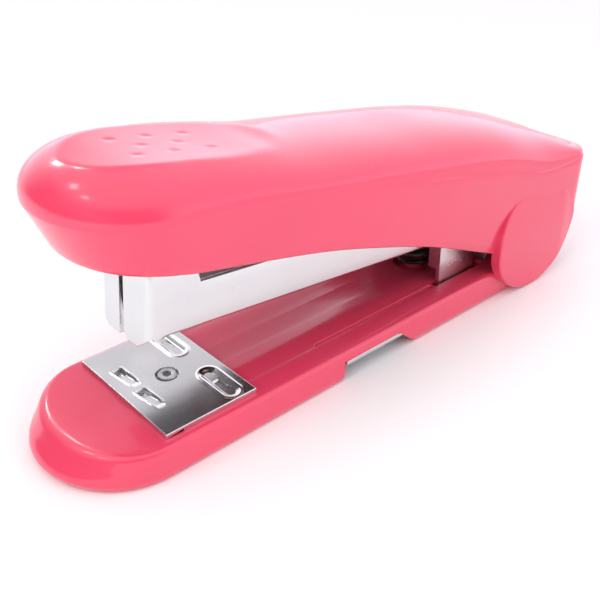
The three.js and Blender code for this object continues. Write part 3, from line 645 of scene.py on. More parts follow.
def smooth_minimum(a, b, softness):
    """The lower of two heights, blended where they differ by less than softness."""
    h = np.clip(0.5 + 0.5 * (b - a) / softness, 0, 1)
    return b + (a - b) * h - softness * h * (1 - h)


def nose_share(outline):
    """0 along the sides, growing to 1 at the tip of the nose."""
    return np.clip((NOSE_CENTRE - outline[:, 0]) / (NOSE_CENTRE - NOSE_TIP), 0, 1)


def back_surface(r, outline):
    """Points of the back: r (rows, 1) from spine to crease, outline (columns, 2) the crease in
    plan."""
    spine_x = np.clip(outline[:, 0], NOSE_CENTRE, FAN_REAR)
    x = spine_x + r * (outline[:, 0] - spine_x)
    y = r * outline[:, 1]
    squareness = smooth(spine_x, 20, 50) - smooth(spine_x, 80, 98)
    power = 2.15 + 0.25 * nose_share(outline) + 0.45 * squareness
    low = crease(outline[:, 0])
    crown = low + (np.maximum(back(x), low) - low) * (1 - r**power) ** (1 / power)
    dish = THUMB_DISH * np.clip(1 - (y / 10) ** 2 - ((x - 4) / 24) ** 2, 0, 1)
    z = smooth_minimum(crown, thumb(x) - dish, RIM_SOFTNESS)
    for dimple_x, dimple_y in dimples:
        away = np.hypot((x - dimple_x) * 0.8, y - dimple_y) / DIMPLE_RADIUS
        z = z - DIMPLE_DEPTH * np.exp(-(away**4))
    return np.stack([x, y, z], -1)


# %% [markdown]
# Below the crease the wall leans inwards to the hem, most at the nose. Towards the rear the panel
# below the crease stands a little proud of the back, which draws the long soft shadow line along
# the side.

# %% Wall below the crease
def plan_normals(outline):
    """Unit vectors that point out of a closed loop, at right angles to the line between each
    point's neighbours."""
    along = np.roll(outline, -1, 0) - np.roll(outline, 1, 0)
    out = np.stack([along[:, 1], -along[:, 0]], 1)
    out /= np.linalg.norm(out, axis=1, keepdims=True)
    return out * np.sign((out * (outline - outline.mean(0))).sum())


def wall_surface(v, outline):
    """Points of the wall: v (rows, 1) from crease to hem; inset = tuck v - proud (1 - exp(-(depth /
    0.7)^2))."""
    out = plan_normals(outline)
    x, y = outline.T
    tuck = 2.0 + 1.5 * nose_share(outline) ** 2 - smooth(x, -10, 40) - smooth(x, 80, 100)
    high = crease(x)
    low = hem(x - out[:, 0] * tuck)
    z = high + (low - high) * v
    proud = 0.45 * smooth(x, 14, 60)
    inset = tuck * v - proud * (1 - np.exp(-(((high - z) / 0.7) ** 2)))
    return np.stack([x - out[:, 0] * inset, y - out[:, 1] * inset, z], -1)


arc = np.linspace(0, np.pi / 2, 58)
back_rows = np.sin(arc)[:, None]
wall_rows = (np.linspace(0, 1, 16)[1:, None]) ** 1.7
outer_skin = np.concatenate([back_surface(back_rows, plan), wall_surface(wall_rows, plan)])
print("outer skin", outer_skin.shape, "top", round(outer_skin[..., 2].max(), 2))

# %% Inner skin, hem and the finished cover
def inward(skin, depth, every):
    """Moves every few rows of a wrapped sheet against its normal, which is the cross product of its
    tangents."""
    down = np.gradient(skin, axis=0)
    round_it = np.roll(skin, -1, 1) - np.roll(skin, 1, 1)
    normal = np.cross(round_it, down)
    size = np.linalg.norm(normal, axis=-1, keepdims=True)
    normal *= np.sign(normal[20, :, 2].mean()) / np.maximum(size, 1e-9)
    normal = np.where(size > 1e-6, normal, [0, 0, 1.0])
    rows = np.unique(np.r_[np.arange(0, len(skin) - 1, every), len(skin) - 1])
    moved = skin[rows] - depth * normal[rows]
    moved[0, :, 1] = 0
    moved[-1, :, 2] = skin[-1, :, 2]
    return moved


inner_skin = inward(outer_skin, COVER_WALL, 4)
hem_edge = 0.25
hem_out, hem_in = outer_skin[-1], inner_skin[-1]
hem_rows = np.stack([hem_out, hem_out + (hem_in - hem_out) * 0.12 - [0, 0, hem_edge],
                     hem_in + (hem_out - hem_in) * 0.12 - [0, 0, hem_edge], hem_in])
cover_sheets = [sheet(outer_skin, wrap=True), sheet(hem_rows, wrap=True), sheet(inner_skin[::-1], wrap=True)]

# %% [markdown]
# Each cheek is a thick disc round the pivot. Its front and lower rim stand proud, and towards the
# crease it runs flat into the wall. A polar sheet does both: rings of growing radius, whose face
# height falls as it climbs.

# %% Cheeks over the pivot
CHEEK_IN, CHEEK_OUT, CHEEK_EDGE, CHEEK_REACH = 16.9, 19.4, 0.4, 20
SEAM_HEIGHT, SEAM_X, SEAM_SLOPE, CHEEK_REAR = 24.6, 85, 0.2, 15.2


def cheek_sheet(side):
    """A polar sheet round the pivot: face to rounded rim to back. On the rear half the rim reaches
    up to the seam under the crease, z = SEAM_HEIGHT + SEAM_SLOPE (x - SEAM_X)."""
    turn = np.linspace(0, 2 * np.pi, 120, endpoint=False)
    cos, sin = np.cos(turn), np.sin(turn)
    climb = sin - SEAM_SLOPE * cos
    seam = (SEAM_HEIGHT + SEAM_SLOPE * (PIVOT_X - SEAM_X) - PIVOT_Z) / np.maximum(climb, 1e-3)
    rear = CHEEK_REAR / np.maximum(cos, 1e-3)
    upper = np.minimum(np.where(climb > 0, seam, np.inf), np.where(cos > 0, rear, np.inf))
    rim = CHEEK_EDGE + np.interp(np.degrees(turn), [0, 100, 128, 142, 156, 170, 184, 198, 212, 250, 360],
                                 [15.4, 12.4, 12.5, 13.0, 13.7, 14.1, 14.4, 15.1, 15.4, 15.3, 15.4])
    reach = np.where((sin > 0) & (cos > -0.70), np.minimum(upper, CHEEK_REACH), rim)
    reach = np.where((cos <= 0) | (sin < 0), np.minimum(reach, rim), reach)
    for _ in range(3):
        reach = (np.roll(reach, 1) + 2 * reach + np.roll(reach, -1)) / 4
    bend = np.linspace(0, np.pi / 2, 7)
    shares = np.concatenate([np.linspace(0, 1, 24)[:-1] ** 0.8, np.ones(7), np.ones(1)])
    drop = np.concatenate([np.zeros(23), CHEEK_EDGE * (1 - np.cos(bend)), [CHEEK_OUT - CHEEK_IN]])
    pull = np.concatenate([np.full(23, CHEEK_EDGE), CHEEK_EDGE * (1 - np.sin(bend)), [0.0]])
    radius = shares[:, None] * (reach - pull[:, None])
    x, z = PIVOT_X + radius * cos, PIVOT_Z + radius * sin
    face = CHEEK_OUT - 1.0 * smooth(z, 12, 28) - 0.5 * smooth(x, 104, 110)
    y = np.maximum(face - drop[:, None], CHEEK_IN)
    front = np.stack([x, side * y, z], -1)
    middle = np.broadcast_to([PIVOT_X, side * CHEEK_IN, PIVOT_Z], (1, 120, 3))
    return sheet(np.concatenate([front, middle]), wrap=True)


put_piece("handle_moulding", cover_sheets + [cheek_sheet(1), cheek_sheet(-1)], "handle", "pink_plastic",
          ["handle_cover"], smooth_angle=50)

# %% [markdown]
# ## The base
#
# The base is a slim tray, upside down: a round nose whose flank leans back, straight sides with a
# thumb notch on each, and a flat top with a filleted edge. Its outline is a ring of columns, and a
# list of layers says how far each layer is pulled in and how high it lies. The flat top and the
# ceiling under it are filled around their openings, and every opening gets its own rounded lip.

# %% Outline of the base
NOSE_MIDDLE, BASE_REAR, BASE_HALF, BASE_TOP, BASE_CEILING, BASE_CORNER = -11.4, 99.5, 17.3, 7.2, 5.2, 4.0
NOTCH_FRONT, NOTCH_REAR, NOTCH_END, NOTCH_HIGH = 32.0, 48.5, 54.2, 4.9
GROOVE_FLOOR, SEAT_FLOOR, SEAT_POST_SIDE = 6.6, 6.0, 6.9


def base_outline(inset, nose_inset):
    """The plan ring: a half circle at the nose, sides with extra columns at the notch, two rear
    corners."""
    half = BASE_HALF - inset
    turn = np.linspace(np.pi, np.pi / 2, 41)
    reach = 16.8 - nose_inset
    nose = np.stack([NOSE_MIDDLE + reach * np.cos(turn), -half * np.sin(turn)], 1)
    x = np.array([0, 15, NOTCH_FRONT - 0.4, NOTCH_FRONT, NOTCH_FRONT + 0.01, 36, 42, NOTCH_REAR, 50.4, 52.3,
                  NOTCH_END, NOTCH_END + 0.3, 70, 84, 92])
    side = np.stack([x, np.full(len(x), -half)], 1)
    turn = np.linspace(0, np.pi / 2, 8)
    corner_x = BASE_REAR - inset - BASE_CORNER * (1 - np.sin(turn))
    corner = np.stack([corner_x, -half + BASE_CORNER * (1 - np.cos(turn))], 1)
    near = np.vstack([nose, side, corner])
    return np.vstack([near, (near * [1, -1])[:0:-1]])


def base_ring(inset, nose_inset, z):
    """One layer of the base, lifted where the notch cuts into the sides."""
    ring = base_outline(inset, nose_inset)
    ends = [NOTCH_FRONT, NOTCH_FRONT + 0.01, NOTCH_REAR, NOTCH_END]
    lift = np.interp(ring[:, 0], ends, [0, NOTCH_HIGH, NOTCH_HIGH, 0])
    return np.column_stack([ring, np.maximum(z, lift)])


# %% Openings in the top
def slot_outline(x0, x1, y0, y1, radius, steps=5):
    """A rectangle with round corners as a closed ring of points."""
    turn = np.linspace(0, np.pi / 2, steps)
    corners = [(x1 - radius, y1 - radius, 0), (x0 + radius, y1 - radius, 1), (x0 + radius, y0 + radius, 2),
               (x1 - radius, y0 + radius, 3)]
    return np.vstack([np.stack([cx + radius * np.cos(turn + k * np.pi / 2),
                                cy + radius * np.sin(turn + k * np.pi / 2)], 1) for cx, cy, k in corners])


def lip(outline, depth, radius=0.25, steps=3):
    """Walls of an opening: the ring widens by radius at the top, rounds over, and drops to
    depth."""
    out = plan_normals(outline)
    turn = np.linspace(0, np.pi / 2, steps + 1)
    widen = np.concatenate([radius * (1 - np.sin(turn)), [0]])
    level = np.concatenate([BASE_TOP - radius * (1 - np.cos(turn)), [depth]])
    rings = outline[None] + out[None] * widen[:, None, None]
    return np.concatenate([rings, level[:, None, None] + 0 * rings[..., :1]], -1)


def fill(z, outer, holes):
    """A flat face at height z inside outer and around holes."""
    loops = [outer] + list(holes)
    points = np.vstack(loops)
    faces = tessellate_polygon([[Vector((x, y, 0)) for x, y in loop] for loop in loops])
    return np.column_stack([points, np.full(len(points), z)]), [list(face) for face in faces]


turn = np.linspace(0, 2 * np.pi, 40, endpoint=False)
circle = lambda x, radius: np.stack([x + radius * np.cos(turn), radius * np.sin(turn)], 1)
SPRING_X, SPRING_SEAT, LINK_Y, RIVETS_X = 72.0, 5.0, 10.9, (88.0, 95.0)
through_openings = [slot_outline(66.3, 83.4, s * LINK_Y - 0.9, s * LINK_Y + 0.9, 0.5) for s in (-1, 1)]
through_openings += [circle(0.0, 2.7)] + [circle(rivet_x, 1.7) for rivet_x in RIVETS_X]
grooves = [slot_outline(29, 66.0, s * 11 - 0.5, s * 11 + 0.5, 0.45) for s in (-1, 1)]
print(len(through_openings), "openings,", len(grooves), "grooves and a spring seat")

# %% The base shell
layers = [(0.9, 1.9, 0.0), (0.45, 1.1, 0.35), (0.12, 0.45, 0.9), (0, 0.05, 1.7), (0, 0.0, 2.2),
          (0, 0.35, 3.0), (0.02, 0.85, 3.7), (0.05, 1.45, 4.3), (0.1, 2.1, 5.1), (0.14, 2.75, 5.9)]
top_edge = np.linspace(0, np.pi / 2, 8)
edge_inset = 0.16 + 1.0 * (1 - np.cos(top_edge))
edge_nose = 3.0 + 2.1 * (1 - np.cos(top_edge)) + 0.5 * np.sin(top_edge)
edge_level = 6.2 + 1.0 * np.sin(top_edge)
layers += list(zip(edge_inset, edge_nose, edge_level))
outside = np.stack([base_ring(*layer) for layer in layers])
inside = np.stack([base_ring(1.9, 3.6, 0.0), base_ring(1.5, 2.6, 1.5), base_ring(1.5, 2.9, 3.2),
                   base_ring(1.6, 4.6, BASE_CEILING)])
inside[..., 2] = np.minimum(np.maximum(inside[..., 2], 0.0), BASE_CEILING)
lips = [lip(hole, BASE_CEILING) for hole in through_openings]
groove_lips = [lip(groove, GROOVE_FLOOR, 0.15) for groove in grooves]
seat_lip = lip(circle(SPRING_X, SPRING_SEAT), SEAT_FLOOR, 0.4)
seat_post = ((2.3, SEAT_FLOOR), (2.3, SEAT_POST_SIDE), (2.0, BASE_TOP))
post = np.stack([np.column_stack([circle(SPRING_X, radius), np.full(40, z)]) for radius, z in seat_post])
top_loops = [edge[0][:, :2] for edge in lips + groove_lips + [seat_lip]]
foot_edge = np.stack([outside[0], inside[0]])
wrapped = [outside, inside, foot_edge] + lips + groove_lips + [seat_lip, post]
base_sheets = [sheet(points, wrap=True) for points in wrapped]
base_sheets += [fill(BASE_TOP, outside[-1][:, :2], top_loops)]
base_sheets += [fill(BASE_CEILING, inside[-1][:, :2], [edge[-1][:, :2] for edge in lips])]
base_sheets += [fill(GROOVE_FLOOR, edge[-1][:, :2], []) for edge in groove_lips]
base_sheets += [fill(SEAT_FLOOR, seat_lip[-1][:, :2], [post[0][:, :2]]), fill(BASE_TOP, post[-1][:, :2], [])]

# %% [markdown]
# Behind the pivot a curved fin rises from the base and closes the gap under the handle. It is an
# arc about the pivot, carried across the base.

# %% The fin behind the pivot
swing = np.radians(np.linspace(-66, 28, 24))
FIN_OUT, FIN_IN, FIN_HALF = 10.7, 9.3, 14.6
fin_arc = lambda radius: np.stack([PIVOT_X + radius * np.cos(swing), PIVOT_Z + radius * np.sin(swing)], 1)
fin_outline = np.vstack([fin_arc(FIN_OUT), fin_arc(FIN_IN)[::-1]])
base_sheets.append(band_of(fin_outline, -FIN_HALF, FIN_HALF, 0.3, plane="xz"))
put_piece("base_tray", base_sheets, "base", "pink_plastic", ["base_shell"])

# %% [markdown]
# The steel base plate reaches out into both thumb notches with a narrow tongue, whose bright edge
# shows under the pink rim of the notch.

# %% Tongues of the base plate in the notches
for side, side_name in ((1, "left"), (-1, "right")):
    tongue = slot_outline(33.0, 53.0, 15.45, 16.95, 0.3) * [1, side]
    put_piece(f"plate_tongue_{side_name}", [band_of(tongue, 3.5, 4.5, 0.15)], "base", "zinc_steel",
              finish_name="nickel_sheet")

# %% [markdown]
# ## The anvil
#
# The anvil is a nickel-plated plate with two pairs of pressed grooves. The front pair curls staple
# legs inwards: each groove starts at a deep square pocket and runs out to nothing. The rear pair,
# used after half a turn, bends the legs outwards and is a pair of oval dishes with a raised rim. As
# pressing moves the metal up or down and never sideways, the top is a height over x and y on one
# fine grid.

# %% Height of the anvil's top
ANVIL_HALF_X, ANVIL_HALF_Y, ANVIL_LOW, ANVIL_TOP, ANVIL_EDGE = 10.325, 15.0, 7.25, 8.25, 0.16
GROOVE_X, GROOVE_DEEP, GROOVE_SHALLOW = -6.7, (7.9, -0.6), (0.6, -7.9)
DISH_X, DISH_NEAR, DISH_FAR, REST_HALF, REST_CUT = 6.2, 5.2, 12.4, 6.5, 0.5


def groove_height(x, y, centre_x, deep_y, shallow_y):
    """A groove that tapers from a square pocket at deep_y to nothing at shallow_y."""
    s = (y - deep_y) / (shallow_y - deep_y)
    across = np.abs(x - centre_x - 0.5 * s) / (1.08 - 0.25 * np.clip(s, 0, 1))
    inside = smooth(s, -0.03, 0.03) * (1 - smooth(across, 0.72, 1.05))
    taper = 0.22 + 0.40 * np.clip(1 - s, 0, 1) ** 1.3
    pocket = smooth(s, 0.0, 0.04) * (1 - smooth(s, 0.27, 0.33)) * (1 - smooth(across, 0.66, 0.78))
    rim = 0.10 * np.exp(-(((across - 1.2) / 0.18) ** 2)) * smooth(s, -0.1, 0.1) * (1 - smooth(s, 0.7, 1.0))
    return rim - inside * taper * (1 - smooth(s, 0.78, 1.04)) - 0.5 * pocket


def dish_height(x, y, centre_x, near_y, far_y):
    """An oval dish round a segment, with a raised rim and a punched square in its middle."""
    along = np.clip(y, min(near_y, far_y), max(near_y, far_y))
    away = np.hypot(x - centre_x, y - along)
    dish = -0.42 * (1 - smooth(away, 0.9, 1.75)) + 0.16 * np.exp(-(((away - 2.1) / 0.32) ** 2))
    square = np.maximum(np.abs(x - centre_x) / 0.8, np.abs(y - (near_y + far_y) / 2) / 1.35)
    return dish - 0.45 * (1 - smooth(square, 0.85, 1.1))


def anvil_height(x, y):
    """The pressed top: both pairs of grooves, and a soft countersink round the rivet."""
    z = ANVIL_TOP - 0.9 * (1 - smooth(np.hypot(x, y), 2.12, 2.32))
    for deep_y, shallow_y in zip(GROOVE_DEEP, GROOVE_SHALLOW):
        z = z + groove_height(x, y, GROOVE_X, deep_y, shallow_y)
    for side in (1, -1):
        z = z + dish_height(x, y, DISH_X, side * DISH_NEAR, side * DISH_FAR)
    return z


# %% The anvil plate
inner_x = np.linspace(-ANVIL_HALF_X + ANVIL_EDGE, ANVIL_HALF_X - ANVIL_EDGE, 132)
inner_y = np.linspace(-ANVIL_HALF_Y + ANVIL_EDGE, ANVIL_HALF_Y - ANVIL_EDGE, 190)
grid_x, grid_y = np.meshgrid(inner_x, inner_y, indexing="ij")
top_grid = np.stack([grid_x, grid_y, anvil_height(grid_x, grid_y)], -1)
border = np.concatenate([top_grid[:-1, 0], top_grid[-1, :-1], top_grid[:0:-1, -1], top_grid[0, :0:-1]])
away_x = np.sign(border[:, 0]) * (np.abs(border[:, 0]) > ANVIL_HALF_X - 1.01 * ANVIL_EDGE)
away_y = np.sign(border[:, 1]) * (np.abs(border[:, 1]) > ANVIL_HALF_Y - 1.01 * ANVIL_EDGE)
bend = np.linspace(0, np.pi / 2, 5)[:, None]
rim_x = border[:, 0] + away_x * ANVIL_EDGE * np.sin(bend)
rim_y = border[:, 1] + away_y * ANVIL_EDGE * np.sin(bend)
rim_z = border[:, 2] - ANVIL_EDGE * (1 - np.cos(bend))
cut_away = (np.abs(border[:, 0]) < REST_HALF) & (away_y != 0)
foot_z = np.where(cut_away, ANVIL_LOW + REST_CUT, ANVIL_LOW)
foot = np.stack([rim_x[-1], rim_y[-1], foot_z], -1)[None]
rim = np.concatenate([np.stack([rim_x, rim_y, rim_z], -1), foot])
anvil_sheets = [sheet(top_grid), sheet(rim, wrap=True), fill(0, foot[0][:, :2], [])]
anvil_sheets[-1][0][:, 2] = foot[0][:, 2]
put_piece("anvil_plate_pressed", anvil_sheets, "anvil", "nickel_steel", ["anvil_plate"], "nickel_anvil", 40)

# %% [markdown]
# The anvil turns on a post whose head lies flush in the plate: a bright ring with a six-sided
# socket, and a dark gap round it. It is a lathed shape, except that the socket's rings are pulled
# in to six flats.

# %% Post, button and spring of the anvil
SOCKET_RADIUS = 0.95
post_profile = [(0, 7.1), (SOCKET_RADIUS, 7.15), (SOCKET_RADIUS, 8.3), (1.05, 8.38), (1.78, 8.36), (1.9, 8.2),
                (1.92, 7.5), (2.3, 7.3), (2.38, 7.0), (2.4, 2.3), (2.2, 2.15), (0, 2.15)]
post_points, post_faces = lathed(post_profile, (0, 0, 0), sides=60)
turn = np.arctan2(post_points[:, 1], post_points[:, 0])
flats = math.cos(math.pi / 6) / np.cos((turn % (math.pi / 3)) - math.pi / 6)
socket = (np.hypot(post_points[:, 0], post_points[:, 1]) < SOCKET_RADIUS + 0.01)[:, None]
post_points[:, :2] = np.where(socket, post_points[:, :2] * flats[:, None], post_points[:, :2])
put_piece("anvil_post_turned", [(post_points, post_faces)], "anvil", "zinc_steel", ["anvil_post"])


def turned(piece_name, profile, centre, body, slot_name, node_name, axis="z", sides=48, tilt=None):
    """A lathed piece that stands for one CAD node, turned about the pivot with the part that it
    sits on."""
    points, faces = lathed(profile, centre, axis, sides)
    if tilt is not None:
        points = tilted(points, tilt)
    return put_piece(piece_name, [(points, faces)], body, slot_name, [node_name])


button = rounded_profile([(0, 1.9), (4.4, 1.9), (4.4, 0.5), (3.2, 0.5), (2.8, 0.9), (0, 0.9)], 0.3)
turned("anvil_button_turned", button, (0, 0, 0), "anvil", "dark_steel", "anvil_button")


def helix(radius, low, high, turns, per_turn=26, flat_ends=0.8):
    """Centre line of a compression spring along z: its first and last turns lie nearly flat."""
    t = np.linspace(0, 1, int(turns * per_turn))
    rise = smooth(t, -0.2 * flat_ends, 1 + 0.2 * flat_ends)
    rise = (rise - rise[0]) / (rise[-1] - rise[0])
    turn = 2 * np.pi * turns * t
    return np.stack([radius * np.cos(turn), radius * np.sin(turn), low + (high - low) * rise], -1)


anvil_line = helix(3.7, 2.6, 4.5, 2)
put_piece("anvil_spring_wound", [wire(anvil_line, 0.35)], "anvil", "black_steel", ["anvil_spring"])

# %% [markdown]
# ## The magazine
#
# The magazine is folded from one nickel-plated sheet: a floor, two walls and, at the nose, a flange
# from each wall that turns the corner and leaves a slot for the driver. The outer face is drawn as
# sheets that follow the walls in plan, with their lower rows curled under into the floor. Solidify
# gives the sheet its one millimetre.

# %% Edges of the walls
MAG_HALF, MAG_FRONT, MAG_STEP, FLOOR_FRONT, FLOOR_REAR, MAG_REAR = 7.75, -102.4, -92.5, -98.6, 1.5, 4.5
MAG_BOTTOM, MAG_TOP, MAG_NOSE_TOP = -3.4, 5.9, 10.0
SHEET, FOLD, CORNER_FOLD = 1.0, 0.8, 1.3


def magazine_wall(side, slot_y, flange_low):
    """Rows from the curl under the wall to its top edge, columns from the rear to the driver's
    slot."""
    step = [MAG_STEP + 1.21, MAG_STEP + 1.2, MAG_STEP, -94.5, -96.5, -97.6]
    x = np.concatenate([np.linspace(MAG_REAR, FLOOR_REAR, 4), np.linspace(0, -90, 24), step,
                        np.linspace(FLOOR_FRONT, MAG_FRONT + CORNER_FOLD, 6)])
    turn = np.linspace(0, np.pi / 2, 9)[1:]
    corner_x = MAG_FRONT + CORNER_FOLD * (1 - np.sin(turn))
    corner_y = MAG_HALF - CORNER_FOLD * (1 - np.cos(turn))
    flange_y = np.linspace(MAG_HALF - CORNER_FOLD, side * slot_y, 22)[1:]
    plan_x = np.concatenate([x, corner_x, 0 * flange_y + MAG_FRONT])
    plan_y = np.concatenate([0 * x + MAG_HALF, corner_y, flange_y])
    out_x = np.concatenate([0 * x, -np.sin(turn), 0 * flange_y - 1])
    out_y = np.concatenate([0 * x + 1, np.cos(turn), 0 * flange_y])
    along_low = np.interp(-x, [-MAG_REAR, -FLOOR_REAR], [-0.4, MAG_BOTTOM])
    low = np.concatenate([along_low, np.interp(side * np.r_[corner_y, flange_y], *flange_low)])
    bends = [-MAG_REAR, -FLOOR_REAR, -MAG_STEP - 1.2, -MAG_STEP]
    along_high = np.interp(-x, bends, [2.9, MAG_TOP, MAG_TOP, MAG_NOSE_TOP])
    high = np.concatenate([along_high, np.full(len(turn) + len(flange_y), MAG_NOSE_TOP)])
    curl = 1 - smooth(-plan_x, -FLOOR_FRONT - 1.0, -FLOOR_FRONT + 1.2)
    under = np.radians(np.linspace(90, 0, 6))[:, None]
    rise = curl * (1 - np.sin(under)) + (1 - curl) * (1 - under / (np.pi / 2))
    inward_shift = curl * FOLD * (1 - np.cos(under))
    share = np.linspace(0, 1, 5)[1:, None]
    z = np.concatenate([low + FOLD * rise, low + FOLD + (high - low - FOLD) * share])
    shift_in = np.concatenate([inward_shift, 0 * share + 0 * low])
    return np.stack([plan_x - out_x * shift_in, side * (plan_y - out_y * shift_in), z], -1)


near_flange = ([-7.75, -4.15, -1.3, 0.3], [-2.8, -5.7, -5.7, -4.6])
far_flange = ([1.7, 5.55, 7.75], [-5.7, -5.7, -3.8])
near_wall, far_wall = magazine_wall(-1, 0.3, near_flange), magazine_wall(1, 1.7, far_flange)
wall_x = near_wall[0, :, 0]
floor_x = wall_x[(wall_x >= FLOOR_FRONT) & (wall_x <= FLOOR_REAR + 0.1)]
floor_y = np.linspace(-1, 1, 9)[:, None] * (MAG_HALF - FOLD)
floor_points = np.stack(np.broadcast_arrays(floor_x, floor_y, MAG_BOTTOM), -1)
print("walls", near_wall.shape, "floor", floor_points.shape)


# %% Folded sheet with thickness
def bevel(piece, width, angle):
    """Rounds every edge sharper than angle degrees with two segments, width in millimetres."""
    soften = piece.modifiers.new("edges", "BEVEL")
    soften.width, soften.segments, soften.limit_method = width * MM, 2, "ANGLE"
    soften.angle_limit = math.radians(angle)


magazine_sheets = [(tilted(points, MAGAZINE_TILT), faces) for points, faces in
                   (sheet(near_wall), sheet(far_wall), sheet(floor_points))]
magazine = put_piece("magazine_folded", magazine_sheets, "magazine", "nickel_steel", ["magazine_channel"])
thick = magazine.modifiers.new("sheet", "SOLIDIFY")
thick.thickness, thick.offset = SHEET * MM, -1
bevel(magazine, 0.12, 50)

# %% [markdown]
# Staples are wires glued side by side. Each is a crown with two legs and small rounded corners, a
# ribbon of four-sided rings, so that nearly a hundred of them stay light.

# %% The strip of staples
STAPLE_HALF, LEG_TIP, CROWN_TOP, WIRE_HALF, STAPLE_PITCH = 6.45, -2.0, 4.1, 0.24, 0.5
STAPLE_FRONT, STAPLE_REAR = -99.3, -51.0


def staple_line(corner=0.7, steps=5):
    """Centre line of one staple in y and z, from one leg tip over the crown to the other."""
    y, z = STAPLE_HALF - WIRE_HALF, CROWN_TOP - WIRE_HALF
    turn = np.linspace(0, np.pi / 2, steps)
    bend_y, bend_z = y - corner * (1 - np.cos(turn)), z - corner * (1 - np.sin(turn))
    half = np.vstack([[y, LEG_TIP], np.stack([bend_y, bend_z], 1)])
    return np.vstack([half, (half * [-1, 1])[::-1]])


line = staple_line()
along = np.gradient(line, axis=0)
along /= np.linalg.norm(along, axis=1, keepdims=True)
across = np.stack([along[:, 1], -along[:, 0]], 1)
corners = [(-1, -1), (1, -1), (1, 1), (-1, 1)]
ring = np.stack([np.column_stack([np.full(len(line), 0.46 * STAPLE_PITCH * i), line + WIRE_HALF * j * across])
                 for i, j in corners], 1)
places = np.arange(STAPLE_FRONT + STAPLE_PITCH / 2, STAPLE_REAR, STAPLE_PITCH)
leg_ends = [[0, 1, 2, 3], [len(line) * 4 - k for k in (1, 2, 3, 4)]]
staple_faces = sheet_faces(ring, wrap=True).tolist() + leg_ends
staples = [(tilted(ring.reshape(-1, 3) + [x, 0, 0], MAGAZINE_TILT), staple_faces) for x in places]
put_piece("staple_wires", staples, "magazine", "staple_wire", ["staple_strip"])
print(len(places), "staples")

# %% [markdown]
# Springs are wires wound along helices. The pusher spring and the return spring each get a mesh of
# their own.

# %% Springs and turned parts of the magazine
SPRING_END, SPRING_LENGTH, ROD_Z, PUSHER_SPRING_LEFT = -9.7, 28.6, 0.2, 0.22
spring_line = helix(1.75, 0, SPRING_LENGTH, 13)[:, [2, 0, 1]] + [SPRING_END - SPRING_LENGTH, 0, ROD_Z]
pusher_spring = put_piece("pusher_spring_wound", [wire(tilted(spring_line, MAGAZINE_TILT), 0.25, 8)],
                          "magazine", "zinc_steel", ["pusher_spring"])
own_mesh(pusher_spring)
rod_profile = rounded_profile([(0, -60), (0.9, -60), (0.9, -4.2), (1.7, -4.2), (1.7, -3.2), (0, -3.2)], 0.3)
turned("pusher_rod_turned", rod_profile, (0, 0, ROD_Z), "magazine", "nickel_steel", "pusher_rod", "x", 24,
       MAGAZINE_TILT)
link_profile = rounded_profile([(0, -3.7), (0.6, -3.7), (0.6, -5.0), (1.4, -5.0), (1.1, -5.55),
                                (0, -5.6)], 0.2)
turned("link_rivet_head", link_profile, (-15.6, 0, 0), "magazine", "zinc_steel", "link_rivet", "z", 28,
       MAGAZINE_TILT)
return_line = helix(3.7, 7.65, 13.3, 3.2, per_turn=30) + [SPRING_X, 0, 0]
return_spring = put_piece("return_spring_wound", [wire(return_line, 0.55, 12)], "base", "black_steel",
                          ["return_spring"])
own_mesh(return_spring)

# %% [markdown]
# ## Turned parts and rivets of the pivot
#
# The pin has domed heads, the washers are flat with broken edges and the two rivets are flattened
# domes. They are all lathed from short profiles whose corners are rounded by the same function.

# %% Pin, washers and rivets
pivot = (PIVOT_X, 0, PIVOT_Z)
pin_profile = rounded_profile([(0, -13.6), (2.6, -13.6), (3.4, -13.1), (3.4, -12.5), (2.0, -12.5),
                               (2.0, 12.5), (3.4, 12.5), (3.4, 13.1), (2.6, 13.6), (0, 13.6)], 0.35)
turned("pivot_pin_turned", pin_profile, pivot, "base", "zinc_steel", "pivot_pin", "y")
washer = rounded_profile([(2.3, 9.85), (2.3, 10.5), (4.2, 10.5), (4.2, 9.8), (2.3, 9.8)], 0.12)
washer = np.vstack([washer, washer[:1]])
for side, side_name in ((1, "left"), (-1, "right")):
    turned(f"pivot_washer_{side_name}_turned", washer * [1, side], pivot, "base", "zinc_steel",
           f"pivot_washer_{side_name}", "y")
bracket_profile = rounded_profile([(0, 2.1), (2.0, 2.1), (2.4, 2.5), (2.4, 3.1), (1.3, 3.1), (1.3, 9.0),
                                   (2.4, 9.0), (2.3, 9.4), (1.2, 9.8), (0, 9.85)], 0.25)
for rivet_x, letter in zip(RIVETS_X, "ab"):
    turned(f"bracket_rivet_{letter}_head", bracket_profile, (rivet_x, 0, 0), "base", "zinc_steel",
           f"bracket_rivet_{letter}", sides=32)

